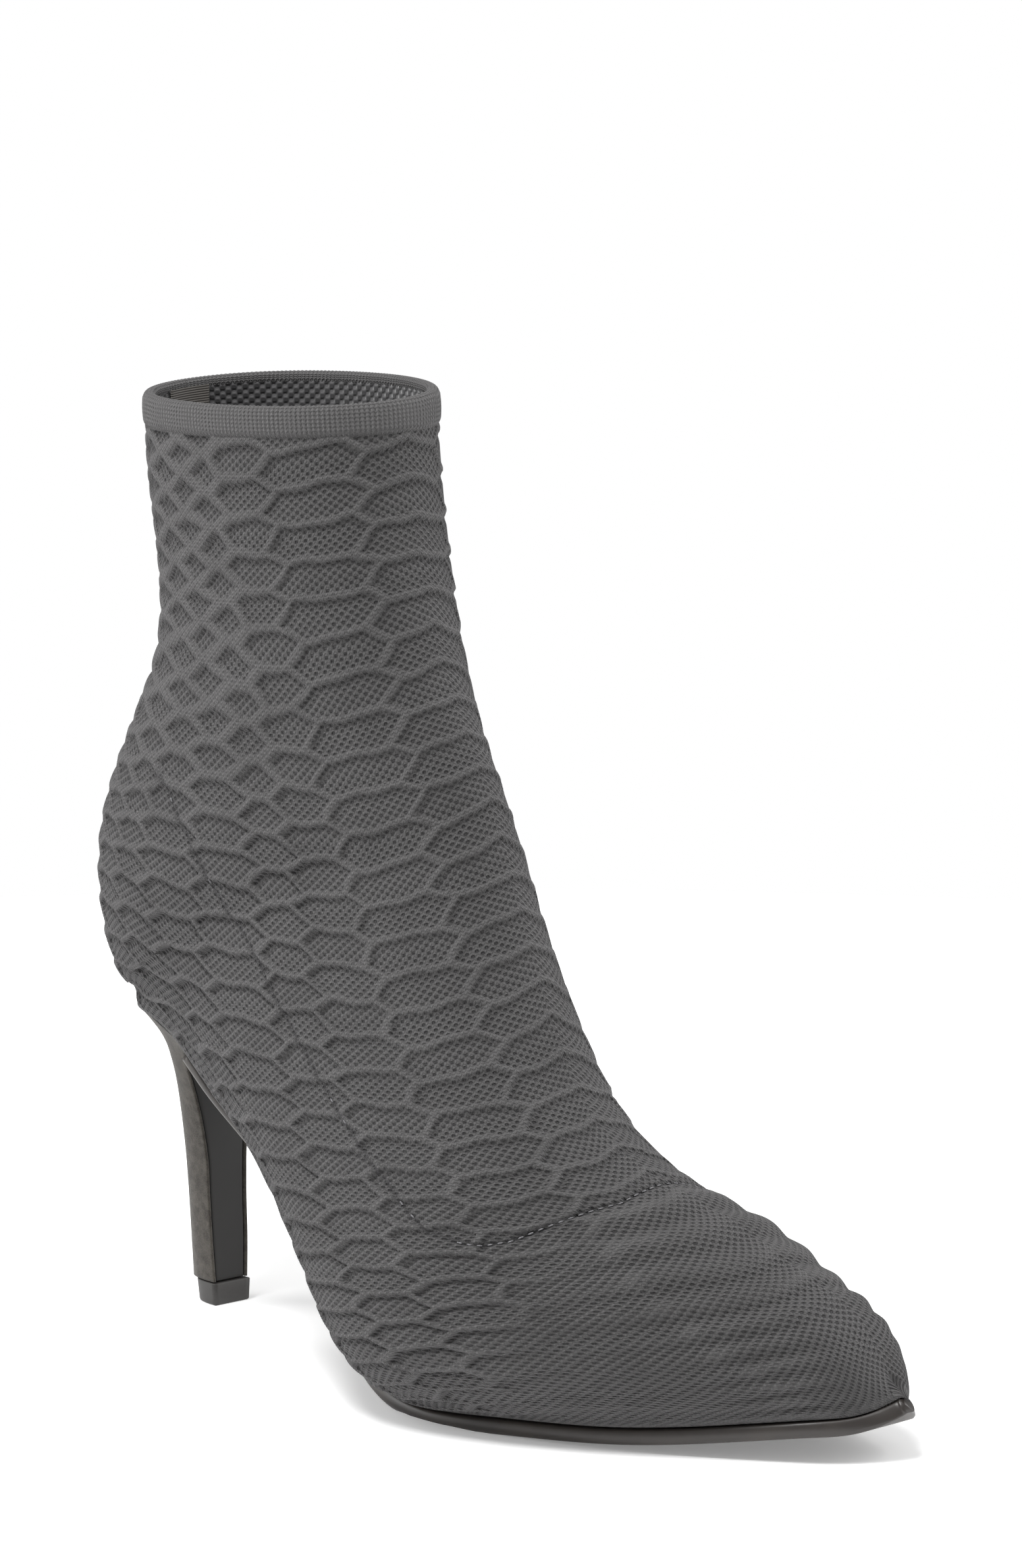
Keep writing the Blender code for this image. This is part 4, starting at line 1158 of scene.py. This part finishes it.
def thread_material():
    """Grey polyester sewing thread, twisted."""
    material, tree, shader = new_material("grey sewing thread")
    place = put(tree, "ShaderNodeTexCoord").outputs["Object"]
    in_mm = put(tree, "ShaderNodeVectorMath", {0: place, 1: (1000.0, 1000.0, 1000.0)}, operation="MULTIPLY")
    twist = noise(tree, in_mm.outputs[0], 3.5, 2.0)
    colour = blend_colour(tree, ramp(tree, twist, 0.3, 0.7), linear("#4c4b4d"), linear("#7c7b7e"))
    bump = put(tree, "ShaderNodeBump", {"Strength": 0.5, "Distance": 0.0001, "Height": twist})
    set_shader(tree, shader, {"Base Color": colour, "Roughness": 0.7, "Normal": bump.outputs[0],
                              "Sheen Weight": 0.2, "Sheen Roughness": 0.4})
    return material


def cuff_material():
    """The same yarn in a fine rib."""
    material, tree, shader = new_material("grey fine rib cuff")
    uv, s, rho, place = yarn_places(tree)
    ridge = put(tree, "ShaderNodeAttribute", attribute_name="ridge").outputs["Fac"]
    stitches = chevrons(tree, s, rho, 1.2, 0.9, 0.8)
    fleck = noise(tree, place, 2.6, 4.0, 0.7)
    colour = blend_colour(tree, ramp(tree, ridge, 0.1, 0.9), linear("#4a4949"), linear("#5d5c5c"))
    colour = blend_colour(tree, calc(tree, "MULTIPLY", fleck, 0.25), colour, linear("#706f6f"))
    height = calc(tree, "ADD", stitches, calc(tree, "MULTIPLY", fleck, 0.6))
    bump = put(tree, "ShaderNodeBump", {"Strength": 1.0, "Distance": 0.0003, "Height": height})
    set_shader(tree, shader, {
        "Base Color": colour, "Roughness": 0.9, "Normal": bump.outputs[0], "Specular IOR Level": 0.25,
        "Sheen Weight": 0.2, "Sheen Roughness": 0.4, "Sheen Tint": linear("#c8c6c8"),
    })
    return material


def inside_material():
    """The knit's back, with columns of purl bumps."""
    material, tree, shader = new_material("grey knit inside")
    uv, s, rho, place = yarn_places(tree)
    bumps = ramp(tree, lattice(tree, s, rho, 1.5, 1.0), -0.6, 0.9)
    fleck = noise(tree, place, 2.6, 4.0, 0.7)
    colour = blend_colour(tree, bumps, linear("#121112"), linear("#545354"))
    colour = blend_colour(tree, calc(tree, "MULTIPLY", fleck, 0.2), colour, linear("#7d7c7e"))
    bump = put(tree, "ShaderNodeBump", {"Strength": 0.9, "Distance": 0.0004, "Height": bumps})
    set_shader(tree, shader, {
        "Base Color": colour, "Roughness": 0.95, "Normal": bump.outputs[0], "Specular IOR Level": 0.2,
        "Sheen Weight": 0.3, "Sheen Roughness": 0.5,
    })
    return material


def tape_material():
    """Polyester grosgrain ribbon, grey-brown."""
    material, tree, shader = new_material("grey-brown grosgrain ribbon")
    uv, s, rho, place = yarn_places(tree)
    ribs = calc(tree, "COSINE", calc(tree, "MULTIPLY", rho, 2 * math.pi / 0.55))
    threads = noise(tree, place, 3.0, 2.0)
    colour = blend_colour(tree, ramp(tree, ribs, -1.0, 1.0), linear("#3a3734"), linear("#524e4a"))
    colour = blend_colour(tree, calc(tree, "MULTIPLY", threads, 0.3), colour, linear("#77726c"))
    bump = put(tree, "ShaderNodeBump", {"Strength": 0.5, "Distance": 0.0001, "Height": ribs})
    set_shader(tree, shader, {"Base Color": colour, "Roughness": 0.6, "Normal": bump.outputs[0],
                              "Sheen Weight": 0.15, "Sheen Roughness": 0.4})
    return material


def insole_material():
    """Brushed polyester sock lining, plain weave."""
    material, tree, shader = new_material("grey woven sock lining")
    uv, s, rho, place = yarn_places(tree)
    weave = lattice(tree, s, rho, 0.5, 0.5)
    worn = noise(tree, place, 0.05, 3.0)
    colour = blend_colour(tree, ramp(tree, weave, -1.0, 1.0), linear("#5a5651"), linear("#77726b"))
    colour = blend_colour(tree, calc(tree, "MULTIPLY", worn, 0.3), colour, linear("#4b4743"))
    bump = put(tree, "ShaderNodeBump", {"Strength": 0.5, "Distance": 0.00012, "Height": weave})
    set_shader(tree, shader, {"Base Color": colour, "Roughness": 0.85, "Normal": bump.outputs[0],
                              "Sheen Weight": 0.2, "Sheen Roughness": 0.5})
    return material


def sole_material():
    """Dark brown-grey sole rubber, satin, with a buffed edge."""
    material, tree, shader = new_material("brown-grey sole rubber")
    uv, s, rho, place = yarn_places(tree)
    grain = noise(tree, place, 1.6, 5.0, 0.65)
    blotch = noise(tree, place, 0.08, 3.0)
    colour = blend_colour(tree, ramp(tree, blotch, 0.3, 0.7), linear("#2b2725"), linear("#38332f"))
    colour = blend_colour(tree, calc(tree, "MULTIPLY", grain, 0.25), colour, linear("#272321"))
    rough = calc(tree, "ADD", calc(tree, "MULTIPLY", blotch, 0.2), 0.28)
    bump = put(tree, "ShaderNodeBump", {"Strength": 0.3, "Distance": 0.00008, "Height": grain})
    set_shader(tree, shader, {"Base Color": colour, "Roughness": rough, "Normal": bump.outputs[0],
                              "Specular IOR Level": 0.5})
    return material


def core_material():
    """Moulded heel, sprayed with satin dark paint."""
    material, tree, shader = new_material("dark heel paint")
    uv, s, rho, place = yarn_places(tree)
    speck = noise(tree, place, 2.5, 3.0)
    film = noise(tree, place, 0.12, 2.0)
    colour = blend_colour(tree, calc(tree, "MULTIPLY", film, 0.5), linear("#1d1c1b"), linear("#262423"))
    rough = calc(tree, "ADD", calc(tree, "MULTIPLY", film, 0.15), 0.5)
    bump = put(tree, "ShaderNodeBump", {"Strength": 0.2, "Distance": 0.00004, "Height": speck})
    set_shader(tree, shader, {"Base Color": colour, "Roughness": rough, "Normal": bump.outputs[0],
                              "Specular IOR Level": 0.4})
    return material


def suede_material():
    """Microsuede heel cover, short nap in grey-brown."""
    material, tree, shader = new_material("grey-brown microsuede")
    uv, s, rho, place = yarn_places(tree)
    nap = noise(tree, place, 3.5, 5.0, 0.75)
    mottle = noise(tree, place, 0.45, 4.0, 0.6)
    colour = blend_colour(tree, ramp(tree, mottle, 0.3, 0.7), linear("#302d2a"), linear("#46433e"))
    colour = blend_colour(tree, calc(tree, "MULTIPLY", ramp(tree, nap, 0.4, 0.7), 0.35), colour,
                          linear("#655f58"))
    height = calc(tree, "ADD", nap, calc(tree, "MULTIPLY", mottle, 0.6))
    bump = put(tree, "ShaderNodeBump", {"Strength": 0.6, "Distance": 0.00012, "Height": height})
    set_shader(tree, shader, {"Base Color": colour, "Roughness": 0.9, "Normal": bump.outputs[0],
                              "Specular IOR Level": 0.2, "Sheen Weight": 0.2, "Sheen Roughness": 0.4})
    return material


def tip_material():
    """Cast polyurethane top piece, lightly scuffed."""
    material, tree, shader = new_material("dark polyurethane")
    uv, s, rho, place = yarn_places(tree)
    grain = noise(tree, place, 2.0, 4.0, 0.6)
    colour = blend_colour(tree, grain, linear("#262423"), linear("#353331"))
    rough = calc(tree, "ADD", calc(tree, "MULTIPLY", grain, 0.2), 0.42)
    bump = put(tree, "ShaderNodeBump", {"Strength": 0.3, "Distance": 0.00006, "Height": grain})
    set_shader(tree, shader, {"Base Color": colour, "Roughness": rough, "Normal": bump.outputs[0]})
    return material


def floor_material():
    """Matt white paper."""
    material, tree, shader = new_material("white paper sweep")
    place = put(tree, "ShaderNodeTexCoord").outputs["Object"]
    grain = noise(tree, place, 30.0, 2.0)
    colour = blend_colour(tree, calc(tree, "MULTIPLY", grain, 0.02), linear("#ffffff"), linear("#f6f6f6"))
    set_shader(tree, shader, {"Base Color": colour, "Roughness": 0.95, "Specular IOR Level": 0.1,
                              "Emission Color": linear("#ffffff"), "Emission Strength": 0.2})
    return material


# Camera, lights and floor

def build_camera():
    azimuth = math.radians(CAMERA_AZIMUTH)
    centre = Vector((CAMERA_AIM[0] + CAMERA_DISTANCE * math.sin(azimuth),
                     -CAMERA_DISTANCE * math.cos(azimuth), CAMERA_HEIGHT))
    aim = (Vector(CAMERA_AIM) - centre).normalized()
    turn = math.atan(CAMERA_CENTRE[0] / CAMERA_FOCAL)
    tip = math.atan(CAMERA_CENTRE[1] / CAMERA_FOCAL)
    aim = Matrix.Rotation(turn, 3, "Z") @ aim
    right = aim.cross(Vector((0, 0, 1))).normalized()
    up = right.cross(aim)
    forward = aim * math.cos(tip) + up * math.sin(tip)
    up = right.cross(forward)
    data = bpy.data.cameras.new("camera")
    data.sensor_width = SENSOR
    data.lens = CAMERA_FOCAL * SENSOR / PICTURE_HEIGHT
    data.clip_start, data.clip_end = 0.05, 50.0
    camera = bpy.data.objects.new("camera", data)
    camera.matrix_world = Matrix((
        (right.x, up.x, -forward.x, centre.x),
        (right.y, up.y, -forward.y, centre.y),
        (right.z, up.z, -forward.z, centre.z),
        (0, 0, 0, 1)))
    bpy.context.scene.collection.objects.link(camera)
    bpy.context.scene.camera = camera


def add_light(name, azimuth, elevation, distance, size, power, tint="#ffffff"):
    data = bpy.data.lights.new(name, "AREA")
    data.shape = "RECTANGLE"
    data.size, data.size_y = size
    data.energy = power
    data.color = linear(tint)[:3]
    a, e = math.radians(azimuth), math.radians(elevation)
    away = Vector((math.sin(a) * math.cos(e), -math.cos(a) * math.cos(e), math.sin(e)))
    light = bpy.data.objects.new(name, data)
    light.location = Vector(CAMERA_AIM) + away * distance
    light.rotation_mode = "QUATERNION"
    light.rotation_quaternion = away.to_track_quat("Z", "Y")
    bpy.context.scene.collection.objects.link(light)


def build_lights():
    world = bpy.data.worlds.new("studio")
    world.use_nodes = True
    background = world.node_tree.nodes["Background"]
    background.inputs["Color"].default_value = linear("#ffffff")
    seen = put(world.node_tree, "ShaderNodeLightPath").outputs["Is Camera Ray"]
    strength = put(world.node_tree, "ShaderNodeMapRange", {"Value": seen, "To Min": WORLD_LIGHT, "To Max": 1.0})
    world.node_tree.links.new(strength.outputs[0], background.inputs["Strength"])
    bpy.context.scene.world = world
    bpy.context.scene.view_settings.view_transform = "Standard"
    add_light("top_softbox", CAMERA_AZIMUTH - 35, 66, 1.3, (0.5, 0.5), 18)
    add_light("left_softbox", CAMERA_AZIMUTH - 100, 22, 1.2, (0.6, 1.1), 7)
    add_light("right_softbox", CAMERA_AZIMUTH + 100, 25, 1.2, (0.6, 1.1), 9)


def build_floor(material):
    """A flat disc of white paper."""
    profile = [(0.0, 0.0), (0.25, 0.0), (0.5, 0.0), (0.75, 0.0)]
    around = 64
    points = []
    for radius, z in profile[1:]:
        for k in range(around):
            a = 2 * math.pi * k / around
            points.append((CAMERA_AIM[0] + radius * math.cos(a), radius * math.sin(a), z))
    points.append((CAMERA_AIM[0], 0.0, 0.0))
    faces = grid_faces(len(profile) - 1, around, closed=True, flip=True).tolist()
    faces += [[len(points) - 1, k, (k + 1) % around] for k in range(around)]
    floor = add_mesh("floor", points, faces, material)


def main():
    build_camera()
    build_lights()
    build_floor(floor_material())
    build_knit(knit_material())
    build_stitches(thread_material())
    build_lining(inside_material())
    build_cuff(cuff_material())
    build_tape(tape_material())
    build_insole(insole_material())
    build_outsole(sole_material())
    build_heel_core(core_material())
    build_heel_cover(suede_material())
    build_tip(tip_material())


main()
